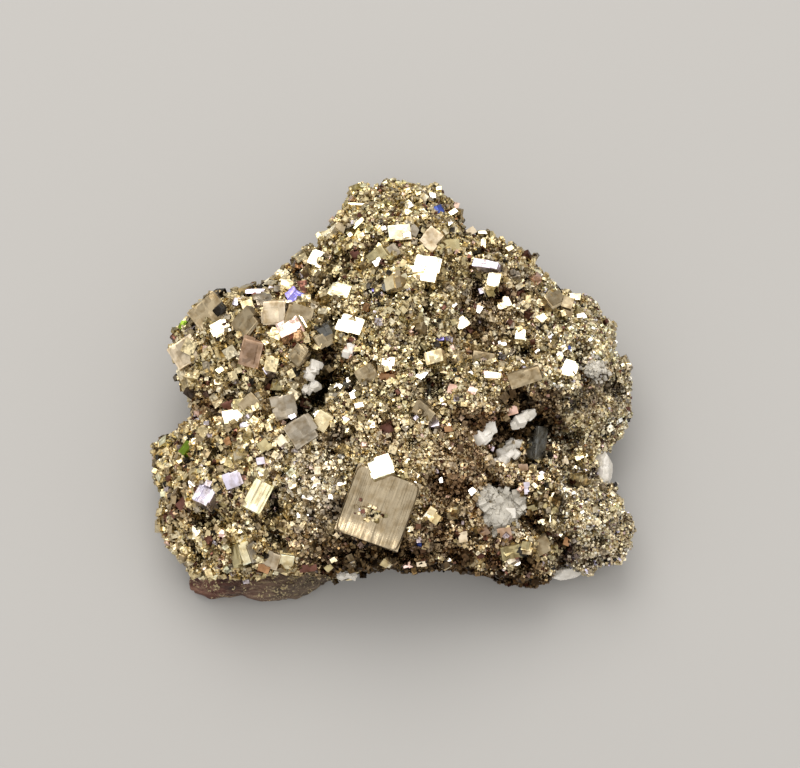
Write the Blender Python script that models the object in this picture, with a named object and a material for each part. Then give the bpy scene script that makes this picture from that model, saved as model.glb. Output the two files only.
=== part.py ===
"""Pyrite specimen: a hand-sized mass of intergrown pyrite, crusted with cubes.

A ledge of red-brown host rock lies under its front left edge, and a patch, chips,
a flake and a rim of white quartz are set in it. The scene is in metres, +Z up. The
specimen rests on z = 0 with its origin under the middle of its box, and its front
faces -Y. Lengths in the tables and constants below are millimetres.
"""

import math

import bmesh
import bpy
import numpy as np
from mathutils import Matrix, Vector

MM = 0.001

# Driving dimensions of the mass
CROWN_HEIGHT = 20.5
CROWN_POWER = 2.6
POLE = (1.0, -3.0)
FOOT_INSET_FRONT = 1.6
FOOT_INSET_BACK = 5.0
FOOT_RIM = 1.3
FLAT_FROM = 0.14
GAP = 0.35
BOX_SHIFT = (0.19, -0.62)

# The brow is the widest line of the mass, seen from above: x, y and its height
BROW = [
    (-5.0, 28.0, 11.0), (1.5, 29.0, 11.0), (5.0, 28.5, 11.0), (8.0, 27.5, 10.5),
    (9.5, 25.0, 10.5), (10.0, 21.5, 11.0), (13.5, 21.0, 11.5), (18.0, 18.5, 11.5),
    (21.0, 15.5, 11.0), (23.0, 13.0, 11.0), (27.0, 11.5, 10.5), (30.0, 8.0, 10.0),
    (32.0, 3.5, 9.5), (33.0, -0.5, 9.0), (32.5, -4.0, 8.5), (31.0, -7.5, 8.0),
    (28.8, -9.5, 7.5), (28.8, -13.0, 7.0), (31.6, -17.0, 7.0), (33.0, -21.0, 7.0),
    (32.5, -23.5, 7.0), (30.0, -26.0, 6.5), (26.5, -26.5, 6.0), (23.5, -25.0, 6.5),
    (21.0, -28.0, 8.0), (17.5, -28.0, 9.5), (13.5, -27.5, 11.0), (8.0, -26.5, 12.5),
    (4.0, -27.0, 13.5), (-0.5, -26.5, 14.0), (-6.0, -26.0, 13.5), (-9.0, -27.0, 12.0),
    (-13.5, -27.4, 10.5), (-20.5, -27.4, 9.5), (-25.0, -27.0, 9.0), (-29.0, -24.0, 8.0),
    (-31.0, -20.5, 8.0), (-31.0, -15.0, 8.0), (-33.0, -10.5, 7.5), (-31.5, -8.0, 8.0),
    (-28.0, -7.0, 9.0), (-27.5, -2.0, 10.5), (-29.5, 3.5, 10.0), (-29.5, 6.0, 10.0),
    (-27.5, 9.5, 10.5), (-25.0, 11.5, 11.0), (-20.5, 12.0, 12.0), (-17.0, 13.0, 12.0),
    (-14.5, 15.0, 12.0), (-12.0, 18.0, 12.0), (-9.0, 21.0, 12.0), (-7.5, 24.0, 11.5),
]

# Swells and hollows of the crown: x, y, radius along X, radius along Y, rise
SWELLS = [
    (1.0, 22.5, 8.5, 7.0, 2.2),
    (-0.5, 15.5, 5.0, 2.2, -1.8),
    (-17.0, 4.0, 9.0, 7.0, 2.4),
    (-28.0, 4.0, 4.0, 5.0, 2.0),
    (-22.5, -4.5, 6.0, 3.5, -1.6),
    (-8.8, -3.4, 2.4, 3.6, -6.5),
    (-11.6, -6.8, 2.8, 2.4, -5.5),
    (1.5, 5.5, 10.0, 9.0, 2.6),
    (13.5, 3.0, 8.5, 6.5, -3.8),
    (8.0, 1.5, 4.0, 3.0, -1.4),
    (20.5, 11.5, 6.0, 4.5, 1.2),
    (27.5, 3.5, 6.5, 9.0, 3.4),
    (7.0, -5.5, 6.0, 3.0, 1.4),
    (21.5, -3.8, 8.0, 2.6, 2.2),
    (-3.0, -13.0, 8.0, 7.0, 1.6),
    (-1.0, -21.5, 7.5, 6.0, 1.9),
    (15.5, -10.5, 4.4, 3.0, -2.6),
    (27.5, -20.5, 6.0, 6.5, 3.6),
    (23.6, -21.5, 1.6, 5.0, -2.6),
    (19.0, -23.5, 3.6, 3.0, 1.5),
    (-25.5, -17.0, 7.5, 9.0, 2.6),
    (-16.0, -20.5, 2.6, 5.0, -2.6),
    (-18.5, -25.0, 6.0, 3.0, 1.6),
    (9.5, -17.0, 4.0, 4.0, -1.0),
]

# The scarp drops the front right quarter to a lower terrace
SCARP_X = (9.0, 14.0)
SCARP_LINE = (13.0, -8.6, 0.16)
SCARP_WIDTH = 1.4
SCARP_DROP = 4.2

# Rolling unevenness of the whole surface, coarse and fine: cell, height and seed
ROLLS = [(6.5, 1.3, 5), (3.1, 0.8, 7)]

# Body mesh: columns round the pole, and rows on crown, flank and sole
COLUMNS = 68
CROWN_ROWS = 18
FLANK_ROWS = 4

# Crystals with a place of their own. Columns: x, y, edges along, across and deep,
# twist about its own top face, compass of its lean, lean, height of its top face
# above the crown
CRYSTALS = [
    (-1.6, -21.0, 9.6, 8.8, 7.0, 72, 270, 17, 0.9),
    (-1.0, -16.4, 3.2, 3.0, 3.0, 20, 90, 2, 1.1),
    (-25.0, 7.6, 5.2, 4.8, 4.4, 38, 250, 14, 1.9),
    (-23.2, 5.0, 2.6, 2.2, 2.4, 30, 90, 4, 1.4),
    (-28.0, 3.6, 3.6, 3.4, 3.6, 12, 190, 30, 0.9),
    (-14.2, 6.4, 4.6, 3.6, 4.0, 2, 265, 20, 2.0),
    (-10.9, 5.4, 4.8, 3.6, 3.6, 176, 300, 16, 1.5),
    (-13.8, 3.6, 3.2, 2.6, 2.8, 25, 120, 12, 2.0),
    (-18.8, 1.0, 4.6, 4.0, 4.0, 68, 240, 26, 1.7),
    (-19.6, 4.6, 3.6, 3.2, 3.2, 40, 200, 34, 1.4),
    (-17.4, 9.2, 3.2, 2.6, 3.0, 15, 80, 24, 1.4),
    (-12.8, 9.0, 2.6, 1.8, 2.4, 60, 60, 22, 1.3),
    (-6.8, 9.6, 3.2, 2.4, 2.6, 155, 100, 8, 1.4),
    (-5.2, 3.8, 3.6, 2.8, 2.6, 160, 90, 3, 1.3),
    (-8.8, 1.8, 2.6, 2.0, 2.4, 35, 330, 28, 1.2),
    (-12.4, -0.2, 3.0, 2.6, 2.6, 50, 210, 18, 1.2),
    (-12.6, -10.4, 4.0, 4.0, 3.4, 33, 265, 18, 1.6),
    (-14.6, -6.2, 3.6, 3.4, 3.4, 14, 280, 12, 1.4),
    (-18.8, -6.2, 2.8, 2.6, 2.6, 42, 240, 20, 1.2),
    (-9.0, -9.6, 2.8, 2.4, 2.4, 55, 250, 24, 1.0),
    (-22.0, -7.8, 2.6, 2.0, 2.2, 8, 90, 3, 1.2),
    (4.8, 12.2, 4.0, 3.8, 3.4, 78, 90, 2, 1.5),
    (1.2, 18.2, 3.6, 2.6, 3.0, 5, 100, 16, 1.2),
    (5.6, 17.2, 3.4, 3.0, 3.0, 50, 250, 22, 1.1),
    (-1.6, 14.2, 3.0, 2.6, 2.8, 35, 230, 26, 1.0),
    (-7.8, 20.2, 3.6, 1.6, 2.4, 52, 80, 24, 0.9),
    (-10.2, 16.0, 2.6, 2.2, 2.4, 65, 90, 3, 1.2),
    (13.0, 13.6, 4.4, 1.4, 2.2, 168, 100, 20, 1.3),
    (14.2, 11.6, 2.4, 2.0, 2.4, 75, 90, 2, 1.1),
    (15.6, 7.8, 2.6, 2.2, 2.4, 20, 90, 3, 1.0),
    (9.8, 5.4, 2.4, 2.4, 2.4, 35, 90, 3, 1.0),
    (17.8, 4.2, 2.4, 2.2, 2.4, 82, 90, 2, 1.0),
    (20.8, 6.0, 2.0, 1.8, 2.2, 45, 90, 4, 0.9),
    (24.2, -1.0, 2.8, 2.6, 2.6, 68, 90, 3, 1.2),
    (13.8, -1.8, 2.6, 1.6, 2.2, 172, 90, 3, 1.2),
    (18.2, -3.4, 5.2, 2.8, 3.0, 18, 265, 22, 1.4),
    (12.6, 0.8, 4.2, 2.4, 2.6, 170, 275, 24, 1.0),
    (20.6, -10.0, 4.2, 1.5, 2.6, 84, 200, 36, 1.4),
    (18.6, -24.4, 3.6, 3.2, 3.0, 40, 265, 20, 1.2),
    (15.0, -25.6, 3.2, 2.8, 2.8, 12, 280, 24, 1.1),
    (-18.2, -18.2, 3.8, 3.4, 3.4, 57, 300, 24, 1.9),
    (-20.0, -25.2, 4.2, 3.4, 3.4, 25, 270, 34, 1.3),
    (-14.0, -25.6, 4.6, 3.4, 3.4, 155, 265, 30, 1.2),
    (-25.4, -18.4, 2.8, 2.4, 2.6, 62, 90, 8, 1.2),
    (-21.0, -16.2, 2.4, 2.2, 2.4, 20, 80, 14, 1.1),
    (-27.8, -11.0, 2.2, 1.4, 2.0, 52, 160, 24, 1.1),
    (-3.2, -3.2, 3.0, 2.4, 2.6, 28, 250, 28, 1.0),
    (4.4, -8.4, 3.2, 2.2, 2.6, 140, 240, 30, 1.0),
    (5.8, -0.6, 2.8, 2.0, 2.4, 10, 200, 20, 1.1),
    (22.6, 9.6, 3.0, 2.4, 2.6, 35, 40, 24, 1.1),
]

# Lesser crystals all over, strewn by a seeded draw
STREWN = 88
STREWN_SEED = 11
STREWN_EDGE = (1.7, 3.1)
STREWN_SHAPE = (0.65, 1.0)

# Quartz set in the mass: x, y, radii, twist, height of its middle above the crown.
# The flake and the rim lie on the flank, so their middles have a height of their own.
QUARTZ = {
    "quartz_patch": (14.0, -19.3, 3.0, 2.6, 1.9, 20, 0.0),
    "quartz_chip_left": (12.6, -9.6, 1.6, 1.3, 1.3, 50, 0.35),
    "quartz_chip_middle": (16.1, -10.6, 1.5, 0.9, 1.1, 45, 0.35),
    "quartz_chip_back": (17.9, -7.4, 1.8, 1.0, 1.2, 30, 0.25),
    "quartz_chip_front": (15.4, -12.6, 2.1, 0.9, 1.1, 25, 0.4),
}
QUARTZ_LOW = {
    "quartz_flake": (29.4, -11.4, 6.0, 1.2, 2.6, 2.0, 8),
    "quartz_rim": (24.2, -25.8, 3.3, 2.2, 1.0, 1.5, 18),
}

# The host rock ledge: middle, half sizes, and the power of its blunt outline
LEDGE_MIDDLE = (-17.8, -24.0, 2.75)
LEDGE_HALF = (10.2, 5.4, 2.75)
LEDGE_BLUNT = 0.55

BRASS = (0.52, 0.44, 0.27)
QUARTZ_WHITE = (0.78, 0.77, 0.73)
ROCK_BROWN = (0.13, 0.065, 0.045)


def lattice_value(cells, seed):
    """A fixed value from 0 to 1 for each whole-number lattice point."""
    i = cells.astype(np.int64).astype(np.uint64)
    n = (
        i[..., 0] * np.uint64(374761393)
        + i[..., 1] * np.uint64(668265263)
        + i[..., 2] * np.uint64(2246822519)
        + np.uint64(seed * 3266489917)
    )
    n = (n ^ (n >> np.uint64(13))) * np.uint64(1274126177)
    n = (n ^ (n >> np.uint64(16))) & np.uint64(0xFFFFFFFF)
    return n.astype(np.float64) / 0xFFFFFFFF


def rolling(points, cell, seed):
    """Smooth noise from -1 to 1: lattice values eased across cells of that size."""
    at = points / cell + 64.0
    low = np.floor(at)
    share = at - low
    share = share * share * (3.0 - 2.0 * share)
    total = np.zeros(points.shape[:-1])
    for corner in np.ndindex(2, 2, 2):
        corner = np.array(corner)
        weight = np.where(corner == 1, share, 1.0 - share).prod(axis=-1)
        total += weight * lattice_value(low + corner, seed)
    return 2.0 * total - 1.0


def roll(points):
    """The rise or fall of the rolling unevenness at each point."""
    return sum(height * rolling(points, cell, seed) for cell, height, seed in ROLLS)


def brow_at(theta):
    """Radius and height of the brow at each angle round the pole, by cubics."""
    table = np.array(BROW)
    dx, dy = table[:, 0] - POLE[0], table[:, 1] - POLE[1]
    angle = np.arctan2(dy, dx)
    order = np.argsort(angle)
    values = np.stack([np.hypot(dx, dy), table[:, 2]], axis=1)[order]
    angle = angle[order]
    count = len(angle)
    turns = np.concatenate([angle - 2 * math.pi, angle, angle + 2 * math.pi])
    theta = (theta + math.pi) % (2 * math.pi) - math.pi
    i = np.searchsorted(turns, theta, side="right") - 1
    t = ((theta - turns[i]) / (turns[i + 1] - turns[i]))[..., None]
    p0, p1, p2, p3 = (values[(i + k) % count] for k in (-1, 0, 1, 2))
    eased = 0.5 * (
        2 * p1
        + (p2 - p0) * t
        + (2 * p0 - 5 * p1 + 4 * p2 - p3) * t**2
        + (3 * p1 - p0 - 3 * p2 + p3) * t**3
    )
    return eased[..., 0], eased[..., 1]


def ease(low, high, value):
    """0 below low, 1 above high and smooth between them."""
    t = np.clip((value - low) / (high - low), 0.0, 1.0)
    return t * t * (3.0 - 2.0 * t)


def crown_height(x, y):
    """Height of the crown over a point of the plan: dome, swells, scarp and roll."""
    dx, dy = x - POLE[0], y - POLE[1]
    radius, brow = brow_at(np.arctan2(dy, dx))
    share = np.clip(np.hypot(dx, dy) / radius, 0.0, 1.0)
    z = brow + (CROWN_HEIGHT - brow) * (1.0 - share**CROWN_POWER)
    for sx, sy, rx, ry, rise in SWELLS:
        near = ((x - sx) / rx) ** 2 + ((y - sy) / ry) ** 2
        z = z + rise * np.exp(-1.4 * near)
    line_x, line_y, slope = SCARP_LINE
    south = line_y + slope * (x - line_x) - y
    drop = ease(-SCARP_WIDTH, SCARP_WIDTH, south) * ease(*SCARP_X, x)
    z = z - SCARP_DROP * drop * (1.0 - share**6)
    plan = np.stack([x, y, np.zeros_like(x)], axis=-1)
    return z + roll(plan) * (1.0 - share**8)


def surface(theta, v):
    """A point of the mass: v is 0 to 1 on the crown, to 2 on the flank, to 3 below."""
    radius, _ = brow_at(theta)
    crown, flank, sole = (np.clip(v - k, 0.0, 1.0) for k in (0, 1, 2))
    back = 0.5 + 0.5 * np.sin(theta)
    inset = FOOT_INSET_FRONT + (FOOT_INSET_BACK - FOOT_INSET_FRONT) * back
    reach = np.where(v <= 1.0, radius * crown, radius - inset * flank**1.6)
    reach = np.where(v > 2.0, (radius - inset) * (1.0 - sole), reach)
    x = POLE[0] + reach * np.cos(theta)
    y = POLE[1] + reach * np.sin(theta)
    top = crown_height(x, y)
    edge = crown_height(
        POLE[0] + radius * np.cos(theta), POLE[1] + radius * np.sin(theta)
    )
    side = edge + (FOOT_RIM - edge) * flank
    below = FOOT_RIM * (1.0 - ease(0.0, FLAT_FROM, sole))
    z = np.where(v <= 1.0, top, np.where(v <= 2.0, side, below))
    place = np.stack([x, y, z], axis=-1)
    swell = roll(place) * ease(0.9, 1.3, v) * (1.0 - ease(1.8, 2.0, v))
    place[..., 0] += swell * np.cos(theta)
    place[..., 1] += swell * np.sin(theta)
    return place


def new_object(name, mesh, material):
    """Puts a mesh into the scene under a node's name, with its material."""
    obj = bpy.data.objects.new(name, mesh)
    bpy.context.scene.collection.objects.link(obj)
    mesh.materials.clear()
    mesh.materials.append(material)
    return obj


def closed_grid(name, rows):
    """A closed mesh from rings of points between a first and a last pole, in mm."""
    rings = rows[1:-1]
    count = len(rings[0])
    points = [rows[0][0]] + [p for ring in rings for p in ring] + [rows[-1][0]]
    last = len(points) - 1
    faces = []
    for j in range(count):
        k = (j + 1) % count
        faces.append((0, 1 + j, 1 + k))
        for r in range(len(rings) - 1):
            a, b = 1 + r * count, 1 + (r + 1) * count
            faces.append((a + j, b + j, b + k, a + k))
        end = 1 + (len(rings) - 1) * count
        faces.append((end + j, last, end + k))
    mesh = bpy.data.meshes.new(name)
    shift = np.array([*BOX_SHIFT, 0.0])
    mesh.from_pydata(((np.array(points) + shift) * MM).tolist(), [], faces)
    mesh.validate()
    return mesh


def mass_mesh():
    """The body of the mass, without its crystals."""
    theta = np.linspace(0.0, 2 * math.pi, COLUMNS, endpoint=False)
    crown = np.linspace(0.0, 1.0, CROWN_ROWS)
    flank = 1.0 + np.linspace(0.0, 1.0, FLANK_ROWS + 1)[1:]
    levels = np.concatenate([crown, flank, [2.0 + FLAT_FROM, 2.55, 3.0]])
    rows = [surface(theta, np.full_like(theta, v)) for v in levels]
    return closed_grid("mass_body", rows)


def crystal_turn(twist, compass, lean):
    """Turn of a crystal whose top face leans towards a compass angle, in degrees."""
    twist, compass, lean = (math.radians(a) for a in (twist, compass, lean))
    towards = Matrix.Rotation(compass, 3, "Z")
    tip = Matrix.Rotation(lean, 3, "Y")
    return towards @ tip @ towards.inverted() @ Matrix.Rotation(twist, 3, "Z")


def block(middle, edges, turn):
    """Corners and faces of one crystal: a block with flat faces, in mm."""
    corners = []
    for sx, sy, sz in np.ndindex(2, 2, 2):
        half = [(s - 0.5) * e for s, e in zip((sx, sy, sz), edges)]
        corners.append(Vector(middle) + turn @ Vector(half))
    faces = [
        (0, 1, 3, 2), (4, 6, 7, 5), (0, 4, 5, 1),
        (2, 3, 7, 6), (0, 2, 6, 4), (1, 5, 7, 3),
    ]
    return corners, faces


def placed_crystals():
    """The crystals with a place of their own, set into the crown."""
    for x, y, along, across, deep, twist, compass, lean, rise in CRYSTALS:
        turn = crystal_turn(twist, compass, lean)
        z = float(crown_height(np.array([x]), np.array([y]))[0]) + rise
        middle = Vector((x, y, z)) - turn @ Vector((0, 0, deep / 2))
        yield block(middle, (along, across, deep), turn)


def strewn_crystals():
    """Lesser crystals at seeded places on crown and flank, each half sunk."""
    draw = np.random.RandomState(STREWN_SEED)
    for _ in range(STREWN):
        theta = draw.uniform(0.0, 2 * math.pi)
        v = math.sqrt(draw.uniform(0.02, 2.6))
        edge = draw.uniform(*STREWN_EDGE)
        angles = draw.uniform(0.0, 360.0, 2)
        lean = draw.uniform(0.0, 55.0)
        place = surface(np.array([theta]), np.array([v]))[0]
        place[2] = max(place[2], 3.2)
        if beside_quartz(place, edge):
            continue
        turn = crystal_turn(angles[0], angles[1], lean)
        across = edge * draw.uniform(*STREWN_SHAPE)
        yield block(place, (edge, across, edge), turn)


def beside_quartz(place, edge):
    """Whether a crystal of that edge would cut into a piece of quartz."""
    spots = [(q[0], q[1], q[2]) for q in QUARTZ.values()]
    spots += [(q[0], q[1], q[4]) for q in QUARTZ_LOW.values()]
    return any(math.hypot(place[0] - x, place[1] - y) < r + edge for x, y, r in spots)


def crystals_mesh():
    """All crystals in one mesh of separate blocks, for the union with the body."""
    points, faces = [], []
    for corners, sides in [*placed_crystals(), *strewn_crystals()]:
        start = len(points)
        points += [
            (c + Vector((*BOX_SHIFT, 0.0))) * MM for c in corners
        ]
        faces += [tuple(start + i for i in side) for side in sides]
    mesh = bpy.data.meshes.new("crystals")
    mesh.from_pydata([tuple(p) for p in points], [], faces)
    return mesh


def nodule_mesh(name, middle, radii, twist, columns, rows, grow=0.0, seed=3):
    """A lumpy closed nodule: an ellipsoid whose radii roll in and out."""
    theta = np.linspace(0.0, 2 * math.pi, columns, endpoint=False)
    turn = math.radians(twist)
    rings = []
    for polar in np.linspace(0.0, math.pi, rows + 1):
        way = np.stack(
            [
                np.sin(polar) * np.cos(theta),
                np.sin(polar) * np.sin(theta),
                np.full_like(theta, math.cos(polar)),
            ],
            axis=-1,
        )
        lump = 1.0 + 0.22 * rolling(way + seed, 0.55, seed)
        local = way * (np.array(radii) * lump[:, None] + grow)
        ring = np.array(middle) + np.stack(
            [
                local[:, 0] * math.cos(turn) - local[:, 1] * math.sin(turn),
                local[:, 0] * math.sin(turn) + local[:, 1] * math.cos(turn),
                local[:, 2],
            ],
            axis=-1,
        )
        rings.append(ring)
    return closed_grid(name, rings)


def ledge_mesh(name, grow=0.0):
    """The blunt slab of host rock: a superellipsoid cut flat on top and below."""
    theta = np.linspace(0.0, 2 * math.pi, 28, endpoint=False)
    cos, sin = np.cos(theta), np.sin(theta)
    blunt_x = np.sign(cos) * np.abs(cos) ** LEDGE_BLUNT
    blunt_y = np.sign(sin) * np.abs(sin) ** LEDGE_BLUNT
    profile = [
        (0.0, -1.0), (0.5, -1.0), (0.86, -1.0), (0.97, -0.6), (1.0, 0.0),
        (0.98, 0.6), (0.90, 0.94), (0.5, 1.0), (0.0, 1.0),
    ]
    rings = []
    for share, level in profile[::-1]:
        z = LEDGE_MIDDLE[2] + level * (LEDGE_HALF[2] + grow)
        reach_x = share * (LEDGE_HALF[0] + grow)
        reach_y = share * (LEDGE_HALF[1] + grow)
        ring = np.stack(
            [
                LEDGE_MIDDLE[0] + reach_x * blunt_x,
                LEDGE_MIDDLE[1] + reach_y * blunt_y,
                np.full_like(theta, z),
            ],
            axis=-1,
        )
        roll = 1.0 + 0.09 * share * rolling(ring * [1, 1, 2.0], 3.5, 9)[:, None]
        ring[:, :2] = LEDGE_MIDDLE[:2] + (ring[:, :2] - LEDGE_MIDDLE[:2]) * roll
        rings.append(ring)
    return closed_grid(name, rings)


def material(name, colour, roughness, metallic):
    """A plain surface with its colour, roughness and metallic value."""
    made = bpy.data.materials.new(name)
    made.use_nodes = True
    shader = made.node_tree.nodes["Principled BSDF"]
    shader.inputs["Base Color"].default_value = (*colour, 1.0)
    shader.inputs["Roughness"].default_value = roughness
    shader.inputs["Metallic"].default_value = metallic
    return made


def helper(name, mesh):
    """An object that only takes part in a Boolean."""
    obj = bpy.data.objects.new(name, mesh)
    bpy.context.scene.collection.objects.link(obj)
    obj.hide_render = True
    obj.display_type = "WIRE"
    return obj


def boolean(obj, other, operation):
    """Adds a Boolean with another object."""
    modifier = obj.modifiers.new(f"{operation.title()} {other.name}", "BOOLEAN")
    modifier.operation = operation
    modifier.object = other
    modifier.solver = "EXACT"
    modifier.use_self = True
    return modifier


def shells(mesh):
    """The separate closed shells of a mesh, each a set of its vertex numbers."""
    leader = list(range(len(mesh.vertices)))

    def lead(i):
        while leader[i] != i:
            leader[i] = leader[leader[i]]
            i = leader[i]
        return i

    for edge in mesh.edges:
        leader[lead(edge.vertices[0])] = lead(edge.vertices[1])
    found = {}
    for i in range(len(mesh.vertices)):
        found.setdefault(lead(i), set()).add(i)
    return sorted(found.values(), key=len)


def joined_solid(obj):
    """Applies an object's Booleans and keeps its outer shell, so no hollow is sealed."""
    depsgraph = bpy.context.evaluated_depsgraph_get()
    mesh = bpy.data.meshes.new_from_object(obj.evaluated_get(depsgraph))
    outer = shells(mesh)[-1]
    kept = bmesh.new()
    kept.from_mesh(mesh)
    kept.verts.ensure_lookup_table()
    loose = [vert for vert in kept.verts if vert.index not in outer]
    bmesh.ops.delete(kept, geom=loose, context="VERTS")
    bmesh.ops.triangulate(kept, faces=kept.faces)
    kept.to_mesh(mesh)
    kept.free()
    obj.modifiers.clear()
    obj.data = mesh


def quartz_pieces():
    """Name, middle, radii, twist, columns and rows of each piece of quartz."""
    for name, (x, y, rx, ry, rz, twist, lift) in QUARTZ.items():
        z = float(crown_height(np.array([x]), np.array([y]))[0]) + lift
        size = (16, 8) if rx > 2.5 else (10, 5)
        yield name, (x, y, z), (rx, ry, rz), twist, *size
    for name, (x, y, z, rx, ry, rz, twist) in QUARTZ_LOW.items():
        yield name, (x, y, z), (rx, ry, rz), twist, 10, 5


def main():
    for obj in list(bpy.data.objects):
        bpy.data.objects.remove(obj)
    brass = material("pyrite", BRASS, 0.22, 1.0)
    white = material("quartz", QUARTZ_WHITE, 0.3, 0.0)
    brown = material("host rock", ROCK_BROWN, 0.85, 0.0)

    mass = new_object("pyrite_mass", mass_mesh(), brass)
    boolean(mass, helper("crystals", crystals_mesh()), "UNION")
    joined_solid(mass)
    new_object("host_rock_ledge", ledge_mesh("ledge"), brown)
    boolean(mass, helper("ledge_seat", ledge_mesh("ledge_seat", GAP)), "DIFFERENCE")
    for seed, (name, middle, radii, twist, columns, rows) in enumerate(quartz_pieces()):
        shape = (middle, radii, twist, columns, rows)
        new_object(name, nodule_mesh(name, *shape, seed=seed), white)
        seat = nodule_mesh(f"{name}_seat", *shape, grow=GAP, seed=seed)
        boolean(mass, helper(f"{name}_seat", seat), "DIFFERENCE")
    joined_solid(mass)


main()
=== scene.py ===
"""Looks of a pyrite specimen: its crystal crust, host rock, quartz, light and camera.

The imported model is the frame, and every piece here lies where that model has it.
The frame is in metres, +Z up, with the specimen at rest on z = 0 and its front
towards -Y. Tables and dataclasses hold millimetres, and meshes are put into metres
when they are made. Everything drawn at random is drawn from a seeded generator.
"""

from __future__ import annotations

import json
import logging
import math
from dataclasses import dataclass, field, fields, replace
from enum import Enum
from itertools import product
from typing import Any

import bpy
import numpy as np
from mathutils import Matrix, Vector


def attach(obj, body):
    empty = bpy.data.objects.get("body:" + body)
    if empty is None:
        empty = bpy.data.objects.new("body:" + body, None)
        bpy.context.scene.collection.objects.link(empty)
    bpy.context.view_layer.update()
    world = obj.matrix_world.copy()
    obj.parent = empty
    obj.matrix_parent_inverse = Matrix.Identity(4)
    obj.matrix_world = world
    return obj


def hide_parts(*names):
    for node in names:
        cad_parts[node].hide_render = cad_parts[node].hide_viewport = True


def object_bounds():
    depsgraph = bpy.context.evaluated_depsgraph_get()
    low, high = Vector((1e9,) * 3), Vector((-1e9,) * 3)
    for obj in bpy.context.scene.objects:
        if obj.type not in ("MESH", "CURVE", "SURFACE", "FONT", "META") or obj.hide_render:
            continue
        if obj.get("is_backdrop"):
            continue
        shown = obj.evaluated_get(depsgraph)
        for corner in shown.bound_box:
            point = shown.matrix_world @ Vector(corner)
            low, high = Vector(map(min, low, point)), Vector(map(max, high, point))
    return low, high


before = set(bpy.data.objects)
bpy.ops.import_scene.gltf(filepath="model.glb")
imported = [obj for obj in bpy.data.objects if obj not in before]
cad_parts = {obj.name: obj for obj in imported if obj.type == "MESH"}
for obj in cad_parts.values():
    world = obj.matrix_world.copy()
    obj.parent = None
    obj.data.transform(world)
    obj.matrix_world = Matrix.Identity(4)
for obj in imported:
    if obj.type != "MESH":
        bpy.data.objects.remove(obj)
CAD_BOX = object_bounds()

Material = bpy.types.Material
Mesh = bpy.types.Mesh
Object = bpy.types.Object
NodeTree = bpy.types.NodeTree
Node = bpy.types.Node
Socket = bpy.types.NodeSocket
Drawn = tuple[np.ndarray, np.ndarray, np.ndarray]

LOG = logging.getLogger("pyrite_specimen")
MM = 0.001
BODY = "root"

# Share of a cell of the baking map left free on each side of a patch
BAKE_MARGIN = 0.12

# Tints stay a little under white, as no face reflects all of the light
LIGHTEST = 0.97

# Brings the middle of the specimen's box to the origin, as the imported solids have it
BOX_SHIFT = np.array([0.19, -0.62, 0.0])

# The brow is the widest line of the mass, seen from above: x, y and its height
BROW = [
    (-5.0, 28.0, 11.0), (1.5, 29.0, 11.0), (5.0, 28.5, 11.0), (8.0, 27.5, 10.5),
    (9.5, 25.0, 10.5), (10.0, 21.5, 11.0), (13.5, 21.0, 11.5), (18.0, 18.5, 11.5),
    (21.0, 15.5, 11.0), (23.0, 13.0, 11.0), (27.0, 11.5, 10.5), (30.0, 8.0, 10.0),
    (32.0, 3.5, 9.5), (33.0, -0.5, 9.0), (32.5, -4.0, 8.5), (31.0, -7.5, 8.0),
    (28.8, -9.5, 7.5), (28.8, -13.0, 7.0), (31.6, -17.0, 7.0), (33.0, -21.0, 7.0),
    (32.5, -23.5, 7.0), (30.0, -26.0, 6.5), (26.5, -26.5, 6.0), (23.5, -25.0, 6.5),
    (21.0, -28.0, 8.0), (17.5, -28.0, 9.5), (13.5, -27.5, 11.0), (8.0, -26.5, 12.5),
    (4.0, -27.0, 13.5), (-0.5, -26.5, 14.0), (-6.0, -26.0, 13.5), (-9.0, -27.0, 12.0),
    (-13.5, -27.4, 10.5), (-20.5, -27.4, 9.5), (-25.0, -27.0, 9.0), (-29.0, -24.0, 8.0),
    (-31.0, -20.5, 8.0), (-31.0, -15.0, 8.0), (-33.0, -10.5, 7.5), (-31.5, -8.0, 8.0),
    (-28.0, -7.0, 9.0), (-27.5, -2.0, 10.5), (-29.5, 3.5, 10.0), (-29.5, 6.0, 10.0),
    (-27.5, 9.5, 10.5), (-25.0, 11.5, 11.0), (-20.5, 12.0, 12.0), (-17.0, 13.0, 12.0),
    (-14.5, 15.0, 12.0), (-12.0, 18.0, 12.0), (-9.0, 21.0, 12.0), (-7.5, 24.0, 11.5),
]

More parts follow.
